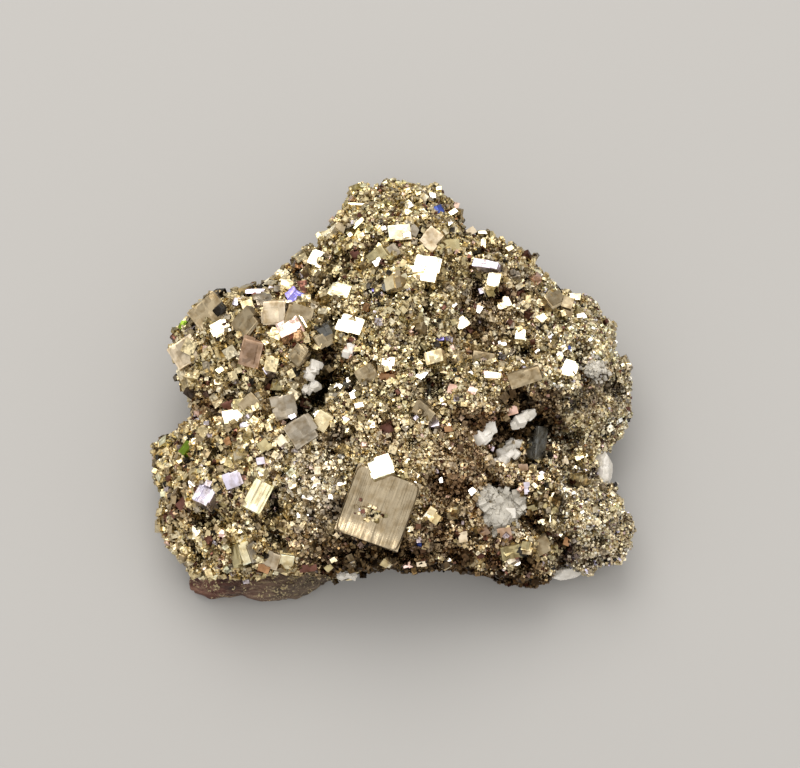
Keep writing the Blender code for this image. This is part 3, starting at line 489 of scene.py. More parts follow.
@dataclass(frozen=True)
class MassForm:
    """The outer form of the mass, a closed surface of an angle and a level.

    The angle goes round the pole, a point of the plan inside the brow. The level is
    0 at the pole, 1 at the brow, 2 at the foot and 3 at the middle of the underside.
    """

    pole: tuple[float, float] = (1.0, -3.0)
    crown_height: float = 20.5
    crown_power: float = 2.6
    foot_inset_front: float = 1.6
    foot_inset_back: float = 5.0
    foot_rim: float = 1.3
    flat_from: float = 0.14
    scarp_x: tuple[float, float] = (9.0, 14.0)
    scarp_line: tuple[float, float, float] = (13.0, -8.6, 0.16)
    scarp_width: float = 1.4
    scarp_drop: float = 4.2
    rolls: tuple[tuple[float, float, int], ...] = ((6.5, 1.3, 5), (3.1, 0.8, 7))

    def roll(self, points: np.ndarray) -> np.ndarray:
        """Rise or fall in mm of the rolling unevenness: noises of two cell sizes, added."""
        return sum(height * rolling(points, cell, seed) for cell, height, seed in self.rolls)

    def brow(self, theta: np.ndarray) -> tuple[np.ndarray, np.ndarray]:
        """Radius and height of the brow: a Catmull-Rom cubic through its points by angle.

        Args:
            theta: Angles round the pole, in radians.

        Returns:
            The radius from the pole and the height, in mm, at each angle.
        """
        table = np.array(BROW)
        dx, dy = table[:, 0] - self.pole[0], table[:, 1] - self.pole[1]
        angle = np.arctan2(dy, dx)
        order = np.argsort(angle)
        values = np.stack([np.hypot(dx, dy), table[:, 2]], axis=1)[order]
        angle = angle[order]
        count = len(angle)
        turns = np.concatenate([angle - 2 * math.pi, angle, angle + 2 * math.pi])
        theta = (theta + math.pi) % (2 * math.pi) - math.pi
        i = np.searchsorted(turns, theta, side="right") - 1
        t = ((theta - turns[i]) / (turns[i + 1] - turns[i]))[..., None]
        p0, p1, p2, p3 = (values[(i + k) % count] for k in (-1, 0, 1, 2))
        eased = 0.5 * (
            2 * p1
            + (p2 - p0) * t
            + (2 * p0 - 5 * p1 + 4 * p2 - p3) * t**2
            + (3 * p1 - p0 - 3 * p2 + p3) * t**3
        )
        return eased[..., 0], eased[..., 1]

    def crown(self, x: np.ndarray, y: np.ndarray) -> np.ndarray:
        """Height of the crown over points of the plan.

        A dome falls from the pole to the brow by a power of the share of the radius.
        Each swell adds a bell curve, the scarp drops the ground south of its line,
        and the rolling unevenness is added with a weight that ends at the brow.

        Args:
            x: Places along X in mm.
            y: Places along Y in mm.

        Returns:
            The heights in mm.
        """
        dx, dy = x - self.pole[0], y - self.pole[1]
        radius, brow = self.brow(np.arctan2(dy, dx))
        share = np.clip(np.hypot(dx, dy) / radius, 0.0, 1.0)
        z = brow + (self.crown_height - brow) * (1.0 - share**self.crown_power)
        for sx, sy, rx, ry, rise in SWELLS:
            near = ((x - sx) / rx) ** 2 + ((y - sy) / ry) ** 2
            z = z + rise * np.exp(-1.4 * near)
        line_x, line_y, slope = self.scarp_line
        south = line_y + slope * (x - line_x) - y
        drop = ease(-self.scarp_width, self.scarp_width, south) * ease(*self.scarp_x, x)
        z = z - self.scarp_drop * drop * (1.0 - share**6)
        plan = np.stack([x, y, np.zeros_like(x)], axis=-1)
        return z + self.roll(plan) * (1.0 - share**8)

    def point(self, theta: np.ndarray, level: np.ndarray) -> np.ndarray:
        """Points of the surface in mm, before the box is centred.

        Up to level 1 the reach from the pole grows to the brow's radius and the height
        is the crown's. To level 2 the reach draws in to the foot as the height falls,
        and to level 3 the reach shrinks to nothing on z = 0.

        Args:
            theta: Angles round the pole, in radians.
            level: Levels from 0 to 3.

        Returns:
            The points, their last axis holding x, y and z.
        """
        radius, _ = self.brow(theta)
        crown, flank, sole = (np.clip(level - k, 0.0, 1.0) for k in (0, 1, 2))
        back = 0.5 + 0.5 * np.sin(theta)
        inset = self.foot_inset_front + (self.foot_inset_back - self.foot_inset_front) * back
        reach = np.where(level <= 1.0, radius * crown, radius - inset * flank**1.6)
        reach = np.where(level > 2.0, (radius - inset) * (1.0 - sole), reach)
        x = self.pole[0] + reach * np.cos(theta)
        y = self.pole[1] + reach * np.sin(theta)
        edge = self.crown(
            self.pole[0] + radius * np.cos(theta), self.pole[1] + radius * np.sin(theta)
        )
        side = edge + (self.foot_rim - edge) * flank
        below = self.foot_rim * (1.0 - ease(0.0, self.flat_from, sole))
        z = np.where(level <= 1.0, self.crown(x, y), np.where(level <= 2.0, side, below))
        place = np.stack([x, y, z], axis=-1)
        swell = self.roll(place) * ease(0.9, 1.3, level) * (1.0 - ease(1.8, 2.0, level))
        place[..., 0] += swell * np.cos(theta)
        place[..., 1] += swell * np.sin(theta)
        return place


def merged(parts: list[Any]) -> Any:
    """One dataclass of arrays from several of a kind, field by field."""
    kind = type(parts[0])
    return kind(*(np.concatenate([getattr(part, f.name) for part in parts]) for f in fields(kind)))


@dataclass
class Soup:
    """Faces of one piece, gathered in mm before they become a mesh.

    Attributes:
        points: Corner points.
        quads: Four corner numbers for each face, counter-clockwise from outside.
        tint: Colour that each face reflects.
        dull: Roughness of each face.
        streak: Strength of the striation on each face.
        patch: Number of the patch of the baking map that each face belongs to.
        inside: Place of each corner in its patch, from 0 to 1 both ways.
        growth: Place of each corner on its crystal face, in mm both ways.
    """

    points: np.ndarray
    quads: np.ndarray
    tint: np.ndarray
    dull: np.ndarray
    streak: np.ndarray
    patch: np.ndarray
    inside: np.ndarray
    growth: np.ndarray

    @staticmethod
    def joined(soups: list[Soup]) -> Soup:
        """All the soups in one, their corner and patch numbers moved on in turn.

        Args:
            soups: The soups to join.

        Returns:
            One soup of all their faces.
        """
        corners = np.cumsum([0] + [len(s.points) for s in soups])
        patches = np.cumsum([0] + [int(s.patch.max()) + 1 for s in soups])
        return merged(
            [
                replace(s, quads=s.quads + corner, patch=s.patch + patch)
                for s, corner, patch in zip(soups, corners, patches)
            ]
        )

    def piece(self, name: str, slot: str, material: Material, smooth: bool = True) -> Object:
        """Makes the piece: a mesh in metres with its attributes and both UV maps.

        The baking map lays the patches out in a square of cells, each with a margin.

        Args:
            name: Name of the piece.
            slot: Not used; it is passed on to new_piece, which doesn't read it.
            material: Its material.
            smooth: Whether faces that meet at a small angle are shaded as one.

        Returns:
            The new object, at the origin.
        """
        mesh = mesh_of(name, self.points, self.quads)
        paint = mesh.attributes.new("tint", "FLOAT_COLOR", "FACE")
        rgba = np.concatenate([self.tint, np.ones((len(self.tint), 1))], axis=1)
        paint.data.foreach_set("color", rgba.astype(np.float32).ravel())
        for label, values in (("dull", self.dull), ("streak", self.streak)):
            held = mesh.attributes.new(label, "FLOAT", "FACE")
            held.data.foreach_set("value", values.astype(np.float32))
        across = math.ceil(math.sqrt(int(self.patch.max()) + 1))
        cell = np.stack([self.patch % across, self.patch // across], axis=-1)
        corner = cell[:, None, :] + BAKE_MARGIN + (1.0 - 2.0 * BAKE_MARGIN) * self.inside
        for label, places in (("OFBake", corner / across), ("growth", self.growth)):
            layer = mesh.uv_layers.new(name=label)
            layer.uv.foreach_set("vector", places.astype(np.float32).ravel())
        mesh.shade_flat()
        if smooth:
            shade_round(mesh, 32.0)
        return new_piece(name, slot, mesh, material)


def mesh_of(name: str, points: np.ndarray, quads: np.ndarray) -> Mesh:
    """A mesh in metres from points in mm and faces of four corners, box centred.

    Args:
        name: Name of the mesh.
        points: Corner points in mm.
        quads: Corner numbers of each face.

    Returns:
        The mesh.
    """
    mesh = bpy.data.meshes.new(name)
    places = (points + BOX_SHIFT) * MM
    mesh.vertices.add(len(places))
    mesh.vertices.foreach_set("co", places.astype(np.float32).ravel())
    mesh.loops.add(quads.size)
    mesh.loops.foreach_set("vertex_index", quads.astype(np.int32).ravel())
    mesh.polygons.add(len(quads))
    starts = np.arange(0, quads.size, 4, dtype=np.int32)
    mesh.polygons.foreach_set("loop_start", starts)
    mesh.update(calc_edges=True)
    return mesh


def shade_round(mesh: Mesh, degrees: float) -> None:
    """Shades a mesh smooth, but for the edges whose faces turn by more than an angle."""
    mesh.shade_smooth()
    mesh.set_sharp_from_angle(angle=math.radians(degrees))


def new_piece(name: str, slot: str, mesh: Mesh, material: Material) -> Object:
    """Links a mesh into the scene as a piece that rides on the specimen.

    Args:
        name: Name of the piece.
        slot: Not used.
        mesh: Its mesh.
        material: Its material.

    Returns:
        The new object.
    """
    obj = bpy.data.objects.new(name, mesh)
    bpy.context.scene.collection.objects.link(obj)
    mesh.materials.append(material)
    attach(obj, BODY)
    LOG.info("%s: %d faces", name, len(mesh.polygons))
    return obj


def closed_grid(name: str, grid: np.ndarray) -> Mesh:
    """A closed mesh from rings of points, the first and last ring each at one point.

    Args:
        name: Name of the mesh.
        grid: Points by ring and by angle, rings from the top to the bottom, in mm.

    Returns:
        The mesh, its rings wrapped round and its two poles closed, with a baking map.
    """
    rings, columns = grid.shape[0], grid.shape[1]
    inner = grid[1:-1].reshape(-1, 3)
    points = np.concatenate([grid[:1, 0], inner, grid[-1:, 0]])
    last = len(points) - 1
    j = np.arange(columns)
    k = (j + 1) % columns
    r = np.arange(rings - 3)[:, None]
    upper, lower = 1 + r * columns, 1 + (r + 1) * columns
    sides = np.stack([upper + j, lower + j, lower + k, upper + k], axis=-1).reshape(-1, 4)
    end = 1 + (rings - 3) * columns
    caps = [(0, 1 + int(a), 1 + int(b)) for a, b in zip(j, k)]
    feet = [(end + int(a), last, end + int(b)) for a, b in zip(j, k)]
    mesh = bpy.data.meshes.new(name)
    places = (points + BOX_SHIFT) * MM
    mesh.from_pydata(places.tolist(), [], sides.tolist() + caps + feet)
    layer = mesh.uv_layers.new(name="OFBake")
    u, w = j / columns, (j + 1) / columns
    v = np.linspace(1.0, 0.0, rings)
    top, low = v[1:-2, None], v[2:-1, None]
    left, right, top, low = np.broadcast_arrays(u[None, :], w[None, :], top, low)
    side_uv = np.stack([left, top, left, low, right, low, right, top], axis=-1).ravel()
    middle = (u + w) / 2
    ones, first = np.full(columns, v[0]), np.full(columns, v[1])
    cap_uv = np.stack([middle, ones, u, first, w, first], axis=-1).ravel()
    before, zeros = np.full(columns, v[-2]), np.full(columns, v[-1])
    foot_uv = np.stack([u, before, middle, zeros, w, before], axis=-1).ravel()
    layer.uv.foreach_set("vector", np.concatenate([side_uv, cap_uv, foot_uv]).astype(np.float32))
    return mesh


def turned(twist: np.ndarray, compass: np.ndarray, lean: np.ndarray) -> np.ndarray:
    """Turns of crystals: a twist about the top face, then a lean towards a compass angle.

    Args:
        twist: Twists in degrees.
        compass: Compass angles of the lean in degrees, 0 along +X.
        lean: Leans in degrees.

    Returns:
        One 3 by 3 matrix for each crystal.
    """
    twist, compass, lean = (np.radians(np.asarray(a, float)) for a in (twist, compass, lean))
    return about_z(compass) @ about_y(lean) @ about_z(-compass) @ about_z(twist)


def about_z(angle: np.ndarray) -> np.ndarray:
    """Matrices that turn about Z by angles in radians.

    Args:
        angle: One angle for each matrix.

    Returns:
        Matrices of 3 by 3.
    """
    c, s, o = np.cos(angle), np.sin(angle), np.zeros_like(angle)
    rows = [c, -s, o, s, c, o, o, o, o + 1.0]
    return np.stack(rows, axis=-1).reshape(*angle.shape, 3, 3)


def about_y(angle: np.ndarray) -> np.ndarray:
    """Matrices that turn about Y by angles in radians.

    Args:
        angle: One angle for each matrix.

    Returns:
        Matrices of 3 by 3.
    """
    c, s, o = np.cos(angle), np.sin(angle), np.zeros_like(angle)
    rows = [c, o, s, o, o + 1.0, o, -s, o, c]
    return np.stack(rows, axis=-1).reshape(*angle.shape, 3, 3)


def facing(normals: np.ndarray, twist: np.ndarray) -> np.ndarray:
    """Turns that bring +Z to each normal, after a twist in radians about it.

    Args:
        normals: Directions of length 1.
        twist: One angle for each.

    Returns:
        Matrices of 3 by 3.
    """
    helper = np.where(np.abs(normals[:, 2:3]) > 0.9, [[1.0, 0.0, 0.0]], [[0.0, 0.0, 1.0]])
    side = unit(np.cross(helper, normals))
    other = np.cross(normals, side)
    return np.stack([side, other, normals], axis=-1) @ about_z(twist)


@dataclass(frozen=True)
class BlockShape:
    """The shape of a cube-like crystal, as six faces of a grid of two parameters.

    Attributes:
        steps: Grid steps along an edge; 1 gives a plain block.
        sharpness: Power of the superellipsoid; a high one has narrow rounded edges.
        gather: Power that gathers the grid lines towards the edges.
        soled: Whether the block has its face at -Z, which a sunk grain doesn't show.
    """

    steps: int = 1
    sharpness: float = 30.0
    gather: float = 1.7
    soled: bool = True

    def template(self) -> tuple[np.ndarray, np.ndarray, np.ndarray, np.ndarray]:
        """The block with half edges of 1.

        Each face is a grid of u and v from -1 to 1 at height 1, gathered to the edges,
        and each point is divided by its superellipsoid norm, which rounds the edges.

        Returns:
            The points, the four corners of each quad, the face of the block that each
            quad lies on, and the u and v of each quad's corners.
        """
        t = np.linspace(-1.0, 1.0, self.steps + 1)
        t = np.sign(t) * (1.0 - (1.0 - np.abs(t)) ** self.gather)
        u, v = np.meshgrid(t, t, indexing="ij")
        shells, quads, places = [], [], []
        i, j = np.meshgrid(np.arange(self.steps), np.arange(self.steps), indexing="ij")
        width = self.steps + 1
        ring = np.stack(
            [i * width + j, (i + 1) * width + j, (i + 1) * width + j + 1, i * width + j + 1],
            axis=-1,
        ).reshape(-1, 4)
        flat = np.stack([u, v], axis=-1).reshape(-1, 2)
        for axis in range(3):
            for sign in (1.0, -1.0) if axis < 2 or self.soled else (1.0,):
                shell = np.empty((width * width, 3))
                shell[:, axis] = sign
                shell[:, (axis + 1) % 3] = flat[:, 0]
                shell[:, (axis + 2) % 3] = flat[:, 1]
                order = ring if sign > 0 else ring[:, ::-1]
                quads.append(order + len(shells) * width * width)
                places.append(flat[order])
                shells.append(shell)
        face = np.repeat(np.arange(len(shells)), self.steps**2)
        points = np.concatenate(shells)
        quads = np.concatenate(quads)
        _, first, same = np.unique(
            np.round(points * 1e5).astype(np.int64), axis=0, return_index=True, return_inverse=True
        )
        points = points[first]
        if self.steps > 1:
            norm = (np.abs(points) ** self.sharpness).sum(axis=-1, keepdims=True)
            points = points / norm ** (1.0 / self.sharpness)
        return points, same.ravel()[quads], face, np.concatenate(places)

    def soup(
        self,
        middles: np.ndarray,
        edges: np.ndarray,
        turns: np.ndarray,
        tint: np.ndarray,
        dull: np.ndarray,
        streak: np.ndarray,
        dent: float = 0.0,
        painted_face_shades: tuple[float, ...] = (1.0, 1.0, 1.0, 1.0, 1.0, 1.0),
        rim: float = 1.0,
    ) -> Soup:
        """One block for each row of the arrays.

        Args:
            middles: Middles of the blocks in mm.
            edges: Their three edges in mm.
            turns: Their turns.
            tint: Their colours.
            dull: Their roughness.
            streak: How strongly they are striated.
            dent: Depth in mm of the unevenness of their faces.
            painted_face_shades: Painted shade of the tint on the faces at +X, -X, +Y, -Y, +Z and -Z.
            rim: How much lighter a face is along its edges, a painted highlight.

        Returns:
            The soup of all the blocks.
        """
        shape, quads, face, places = self.template()
        count = len(middles)
        local = shape[None] * edges[:, None, :] / 2.0
        if dent > 0.0:
            where = local + np.arange(count)[:, None, None] * 3.7
            local = local * (1.0 + dent * rolling(where, 1.1, 21)[..., None] / edges[:, None, :])
        points = np.einsum("nij,nkj->nki", turns, local) + middles[:, None, :]
        start = np.arange(count)[:, None, None] * len(shape)
        axis = face // 2
        spans = np.stack([edges[:, (axis + 1) % 3], edges[:, (axis + 2) % 3]], axis=-1)
        growth = places[None] * spans[:, :, None, :] / 2.0
        growth = growth + (np.arange(count)[:, None] * 7.3 + face[None] * 31.0)[..., None, None]
        inside = np.broadcast_to(places[None] / 2.0 + 0.5, (count, *places.shape))
        patch = np.arange(count)[:, None] * 6 + face[None]
        per_face = len(face)
        edged = np.abs(places).max(axis=(1, 2)) > 0.999
        # Painted shade by side of the block, and a painted highlight along the edges of each face
        tone = np.array(painted_face_shades)[face] * np.where(edged, rim, 1.0)
        return Soup(
            points.reshape(-1, 3),
            (quads[None] + start).reshape(-1, 4),
            np.minimum(tint[:, None, :] * tone[None, :, None], LIGHTEST).reshape(-1, 3),
            np.repeat(dull, per_face),
            np.repeat(streak, per_face),
            patch.ravel(),
            inside.reshape(-1, 4, 2),
            growth.reshape(-1, 4, 2),
        )


def front_flank(normals: np.ndarray, x: np.ndarray, steep: tuple[float, float]) -> np.ndarray:
    """1 on the front flank, where shade is painted, eased to 0 as the skin turns up and past both ends."""
    return ease(*steep, -normals[..., 1]) * ease(-12.0, -8.0, x) * (1.0 - ease(22.0, 25.0, x))


@dataclass
class Skin:
    """The fine skin of the mass, from which its grains grow.

    Attributes:
        form: The form that it follows.
        columns: Points round a ring.
        crown_rows: Rings of the crown.
        flank_rows: Rings of the flank.
        sole_rows: Rings of the underside.
        knobs: Cell in mm, height in mm and seed of each noise of its knobbly relief.
        pits: Cell in mm, depth in mm and seed of each noise of its pits.
        hollows: x, y, z, radius and depth in mm of each hollow.
        layering: Height in mm of the layers of the front flank.
        ledge_gap: Least height in mm of the skin's foot over the ledge.
    """

    form: MassForm
    columns: int = 500
    crown_rows: int = 84
    flank_rows: int = 32
    sole_rows: int = 13
    knobs: tuple[tuple[float, float, int], ...] = (
        (1.9, 1.15, 31), (0.95, 0.55, 32), (0.5, 0.28, 33),
    )
    pits: tuple[tuple[float, float, int], ...] = ((2.6, 1.7, 35), (1.3, 0.8, 36))
    hollows: np.ndarray = field(default_factory=lambda: np.zeros((0, 5)))
    layering: float = 0.5
    ledge_gap: float = 1.2
    grid: np.ndarray = field(init=False)
    smooth_normals: np.ndarray = field(init=False)
    levels: np.ndarray = field(init=False)
    out: np.ndarray = field(init=False)

    def __post_init__(self) -> None:
        """Works out the grid of points and the normals of the form under it."""
        theta = np.linspace(0.0, 2 * math.pi, self.columns, endpoint=False)
        crown = np.linspace(0.0, 1.0, self.crown_rows, endpoint=False)
        flank = np.linspace(1.0, 2.0, self.flank_rows, endpoint=False)
        sole = 2.0 + np.linspace(0.0, 1.0, self.sole_rows) ** 1.3
        self.levels = np.concatenate([crown, flank, sole])
        angle, level = np.meshgrid(theta, self.levels)
        base = self.form.point(angle, level)
        self.smooth_normals = self.normals_of(base)
        front = ease(0.3, 0.8, -self.smooth_normals[..., 1]) * ease(1.0, 1.2, level)
        layers = self.layering * rolling(base * [0.25, 0.25, 1.0], 0.95, 51)
        out = (self.relief(base) + front * layers) * (1.0 - ease(1.8, 2.05, level))
        out = out * ease(0.0, 0.012, level)
        self.out = out
        self.grid = base + self.smooth_normals * out[..., None]
        lift = np.maximum(0.0, rolling(base, 2.6, 41) + 0.5 * rolling(base, 1.1, 42))
        sole_share = ease(2.1, 2.3, level) * (1.0 - ease(2.95, 3.0, level))
        self.grid[..., 2] += 0.5 * lift * sole_share
        over_ledge = HostRock().covers(self.grid) & (level > 1.9)
        floor = np.where(over_ledge, self.ledge_gap, 0.0)
        self.grid[..., 2] = np.maximum(self.grid[..., 2], floor)

    def relief(self, points: np.ndarray) -> np.ndarray:
        """Height of the knobs less the depth of the pits.

        A knob is the size of a noise, so knobs meet in sharp creases. A pit is where
        another noise is high, eased at its rim.

        Args:
            points: Points in mm, before the box is centred.

        Returns:
            Heights in mm, one for each point.
        """
        total = np.zeros(points.shape[:-1])
        for cell, height, seed in self.knobs:
            total += height * (np.abs(rolling(points, cell, seed)) - 0.3)
        for cell, depth, seed in self.pits:
            total -= depth * ease(0.22, 0.7, rolling(points, cell, seed))
        for x, y, z, radius, depth in self.hollows:
            far = ((points - np.array([x, y, z])) ** 2).sum(axis=-1)
            total -= depth * np.exp(-far / radius**2)
        return total

    @staticmethod
    def normals_of(grid: np.ndarray) -> np.ndarray:
        """Outward normals of a wrapped grid, from its central differences.

        Args:
            grid: Points by level and angle.

        Returns:
            Directions of length 1, in the grid's order.
        """
        round_step = np.roll(grid, -1, axis=1) - np.roll(grid, 1, axis=1)
        down_step = np.gradient(grid, axis=0)
        normals = unit(np.cross(down_step, round_step))
        normals[0] = (0.0, 0.0, 1.0)
        normals[-1] = (0.0, 0.0, -1.0)
        return normals

    def painted_shade_depth(self) -> np.ndarray:
        """Depth of the painted shade at each point: how far it lies in a hollow of the form and of the
        skin's relief, and more on the front flank.

        Returns:
            Depths in mm, in the grid's order.
        """
        reach = 2.2
        x, y = self.grid[..., 0], self.grid[..., 1]
        here = self.form.crown(x, y)
        ring = sum(
            self.form.crown(x + reach * math.cos(a), y + reach * math.sin(a))
            for a in np.arange(0, 2 * math.pi, math.pi / 3)
        )
        front = front_flank(self.smooth_normals, x, (0.3, 0.7))
        return np.clip(0.5 * (ring / 6.0 - here), -1.0, 0.8) - 0.5 * self.out + 0.9 * front

    def draw(self, rng: np.random.Generator, count: int, weight: np.ndarray) -> Drawn:
        """Draws places on the skin, as many to the area as the weight says.

        Args:
            rng: The generator to draw from.
            count: How many places.
            weight: Weight of each cell of the grid, by ring and column.

        Returns:
            The places in mm, the form's normals there and the number of each one's cell.
        """
        a, b = self.grid[:-1], self.grid[1:]
        c = np.roll(a, -1, axis=1)
        area = np.linalg.norm(np.cross(b - a, c - a), axis=-1)
        share = (area * weight[:-1]).ravel()
        picked = rng.choice(share.size, size=count, p=share / share.sum())
        s, t = rng.random((2, count, 1))
        d = np.roll(b, -1, axis=1)
        corners = [m.reshape(-1, 3)[picked] for m in (a, c, b, d)]
        places = (
            corners[0] * (1 - s) * (1 - t)
            + corners[1] * s * (1 - t)
            + corners[2] * (1 - s) * t
            + corners[3] * s * t
        )
        return places, self.smooth_normals[:-1].reshape(-1, 3)[picked], picked

    def piece(self, material: Material) -> Object:
        """The groundmass between the crystals, in place of the whole mass's solid.

        Args:
            material: Material of the groundmass.

        Returns:
            The new object.
        """
        mesh = closed_grid("groundmass", self.grid)
        held = mesh.attributes.new("shade_depth", "FLOAT", "POINT")
        values = self.painted_shade_depth()
        flat = np.concatenate([values[0, :1], values[1:-1].ravel(), values[-1, :1]])
        held.data.foreach_set("value", flat.astype(np.float32))
        obj = new_piece("groundmass", "pyrite", mesh, material)
        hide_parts("pyrite_mass")
        return obj


@dataclass(frozen=True)
class HostRock:
    """The ledge of red-brown host rock under the front left edge of the crust."""

    middle: tuple[float, float, float] = (-17.8, -24.0, 2.75)
    half: tuple[float, float, float] = (10.2, 5.4, 2.75)
    blunt: float = 0.55
    taper: float = 2.4
    columns: int = 260
    rows: int = 64
    # Way down the profile, share of the half width there and share of the half height
    profile: tuple[tuple[float, float, float], ...] = (
        (0.0, 0.0, 1.0), (0.22, 0.8, 0.98), (0.34, 0.95, 0.7), (0.5, 1.0, 0.0),
        (0.66, 0.97, -0.6), (0.78, 0.84, -1.0), (1.0, 0.0, -1.0),
    )

    def covers(self, points: np.ndarray) -> np.ndarray:
        """Which points lie over the ledge's plan, drawn in a little.

        Args:
            points: Points in mm, before the box is centred.

        Returns:
            True for each point over the ledge.
        """
        u = np.abs(points[..., 0] - self.middle[0]) / (self.half[0] - 0.6)
        v = np.abs(points[..., 1] - self.middle[1]) / (self.half[1] - 0.6)
        return u ** (2 / self.blunt) + v ** (2 / self.blunt) < 1.0

    def surface(self) -> np.ndarray:
        """Rings of the ledge: a superellipse in plan and a blunt profile in height.

        The profile runs from the middle of the top, round the side and under the flat
        bottom. The front draws back to the right, and noises of four cell sizes push
        the side in and out in rough ledges.

        Returns:
            Points by ring and angle, top first, in mm.
        """
        theta = np.linspace(0.0, 2 * math.pi, self.columns, endpoint=False)
        s = np.linspace(0.0, 1.0, self.rows)
        way, reach, height = np.array(self.profile).T
        share, level = np.interp(s, way, reach), np.interp(s, way, height)
        cos, sin = np.cos(theta), np.sin(theta)
        x = np.sign(cos) * np.abs(cos) ** self.blunt
        y = np.sign(sin) * np.abs(sin) ** self.blunt
        ring = np.stack(
            [
                self.middle[0] + share[:, None] * self.half[0] * x,
                self.middle[1] + share[:, None] * self.half[1] * y,
                self.middle[2] + level[:, None] * self.half[2] + 0.0 * x,
            ],
            axis=-1,
        )
        right = ease(0.35, 1.0, (ring[..., 0] - self.middle[0]) / self.half[0])
        front = ease(0.0, 1.0, (self.middle[1] - ring[..., 1]) / self.half[1])
        ring[..., 1] += self.taper * right * front
        push = share[:, None] * (
            0.10 * rolling(ring * [1, 1, 2.0], 3.5, 9)
            + 0.06 * rolling(ring * [1, 1, 2.6], 1.3, 10)
            + 0.035 * np.abs(rolling(ring * [1, 1, 1.6], 0.6, 11))
            + 0.03 * np.round(3.0 * rolling(ring * [0.35, 0.35, 2.2], 1.6, 13)) / 3.0
        )
        middle = np.array(self.middle[:2])
        ring[..., :2] = middle + (ring[..., :2] - middle) * (1.0 + push[..., None] - 0.04)
        rough = 0.3 * rolling(ring, 0.8, 12) + 0.3 * rolling(ring, 2.4, 14)
        ring[..., 2] = np.maximum(ring[..., 2] + rough * (level > -0.8)[:, None], 0.0)
        return ring

    def piece(self, material: Material) -> Object:
        """The rock, in place of the ledge's solid.

        Args:
            material: Material of the rock.

        Returns:
            The new object.
        """
        mesh = closed_grid("ledge_rock", self.surface())
        obj = new_piece("ledge_rock", "host_rock", mesh, material)
        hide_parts("host_rock_ledge")
        return obj


@dataclass(frozen=True)
class Viewpoint:
    """The photograph's view: where the camera stands and how a pixel meets the crown."""

    target: tuple[float, float, float] = (1.5, -0.6, 8.0)
    elevation: float = 72.0
    distance: float = 310.0
    lens: float = 100.0
    sensor: float = 36.0
    width: int = 800
    height: int = 768

    def place(self) -> np.ndarray:
        """Where the camera stands, in mm."""
        return np.array(self.target) - self.distance * self.axes()[0]

    def axes(self) -> tuple[np.ndarray, np.ndarray]:
        """Directions ahead of the camera and up in its picture.

        Returns:
            The two directions, each of length 1.
        """
        tip = math.radians(self.elevation)
        cos, sin = math.cos(tip), math.sin(tip)
        return np.array([0.0, cos, -sin]), np.array([0.0, sin, cos])

    def camera(self) -> Object:
        """Makes the scene's camera.

        Returns:
            The camera, set as the scene's own.
        """
        data = bpy.data.cameras.new("camera")
        data.lens = self.lens
        data.sensor_width = self.sensor
        camera = bpy.data.objects.new("camera", data)
        bpy.context.scene.collection.objects.link(camera)
        place = Vector(self.place() * MM)
        aim = Vector(self.target) * MM - place
        camera.location = place
        camera.rotation_euler = aim.to_track_quat("-Z", "Y").to_euler()
        bpy.context.scene.camera = camera
        return camera

    def on_crown(self, form: MassForm, pixels: np.ndarray, rise: np.ndarray | float) -> np.ndarray:
        """Where the lines of sight through pixels of the photograph meet the crown.

        Each line is cut with a level plane, and the plane is moved to the crown's
        height at that place until both agree.

        Args:
            form: The form whose crown is met.
            pixels: Pixel columns and rows in the photograph.
            rise: Height over the crown of the level that is met.

        Returns:
            The places in mm, before the box is centred.
        """
        first_guess, rounds = 15.0, 40
        way = self.way_through(pixels)
        start = self.place() - BOX_SHIFT
        z = np.full(len(pixels), first_guess)
        for _ in range(rounds):
            reach = (z - start[2]) / way[:, 2]
            x, y = start[0] + reach * way[:, 0], start[1] + reach * way[:, 1]
            z = 0.6 * z + 0.4 * (form.crown(x, y) + rise)
        return np.stack([x, y, z], axis=-1)

    def pixels_of(self, points: np.ndarray) -> tuple[np.ndarray, np.ndarray]:
        """Pixels and distances along the view of points in mm, before the box is centred.

        Args:
            points: The points.

        Returns:
            Columns and rows of pixels, and distances in mm.
        """
        ahead, up = self.axes()
        away = points + BOX_SHIFT - self.place()
        depth = away @ ahead
        scale = self.lens / self.sensor * self.width / depth
        column = self.width / 2 + away[..., 0] * scale
        row = self.height / 2 - (away @ up) * scale
        return np.stack([column, row], axis=-1), depth

    def on_skin(self, skin: Skin, pixels: np.ndarray, clearance: float) -> np.ndarray:
        """Where the lines of sight through pixels first meet the skin.

        The skin's point of least distance among those within a few pixels is taken
        and slid across the view onto the line, then drawn towards the camera. Where
        there is none so near, the nearest point in the picture is drawn forward.

        Args:
            skin: The skin that is met.
            pixels: Pixel columns and rows in the photograph.
            clearance: How far the places are drawn towards the camera, in mm.

        Returns:
            The places in mm, before the box is centred.
        """
        near = 4.0
        points = skin.grid.reshape(-1, 3)
        shown, depth = self.pixels_of(points)
        start = self.place() - BOX_SHIFT
        found = []
        for pixel in pixels:
            off = np.hypot(*(shown - pixel).T)
            picked = np.argmin(np.where(off < near, depth + 0.3 * off, 1000.0 + off))
            aim = pixel if off[picked] < near else shown[picked]
            found.append(start + (depth[picked] - clearance) * self.way_through(aim[None])[0])
        return np.array(found)

    def way_through(self, pixels: np.ndarray) -> np.ndarray:
        """Directions of the lines of sight, each 1 long along the view's middle.

        Args:
            pixels: Columns and rows of pixels.

        Returns:
            Directions, one for each pixel.
        """
        ahead, up = self.axes()
        scale = self.sensor / self.lens / self.width
        u = (pixels[:, :1] - self.width / 2) * scale
        v = (self.height / 2 - pixels[:, 1:2]) * scale
        return ahead + u * np.array([1.0, 0.0, 0.0]) + v * up


COLOUR = "NodeSocketColor"
NUMBER = "NodeSocketFloat"

# Height in metres of a full bump of a crystal face and of the rock
FACE_BUMP = 0.0002
ROCK_BUMP = 0.0006


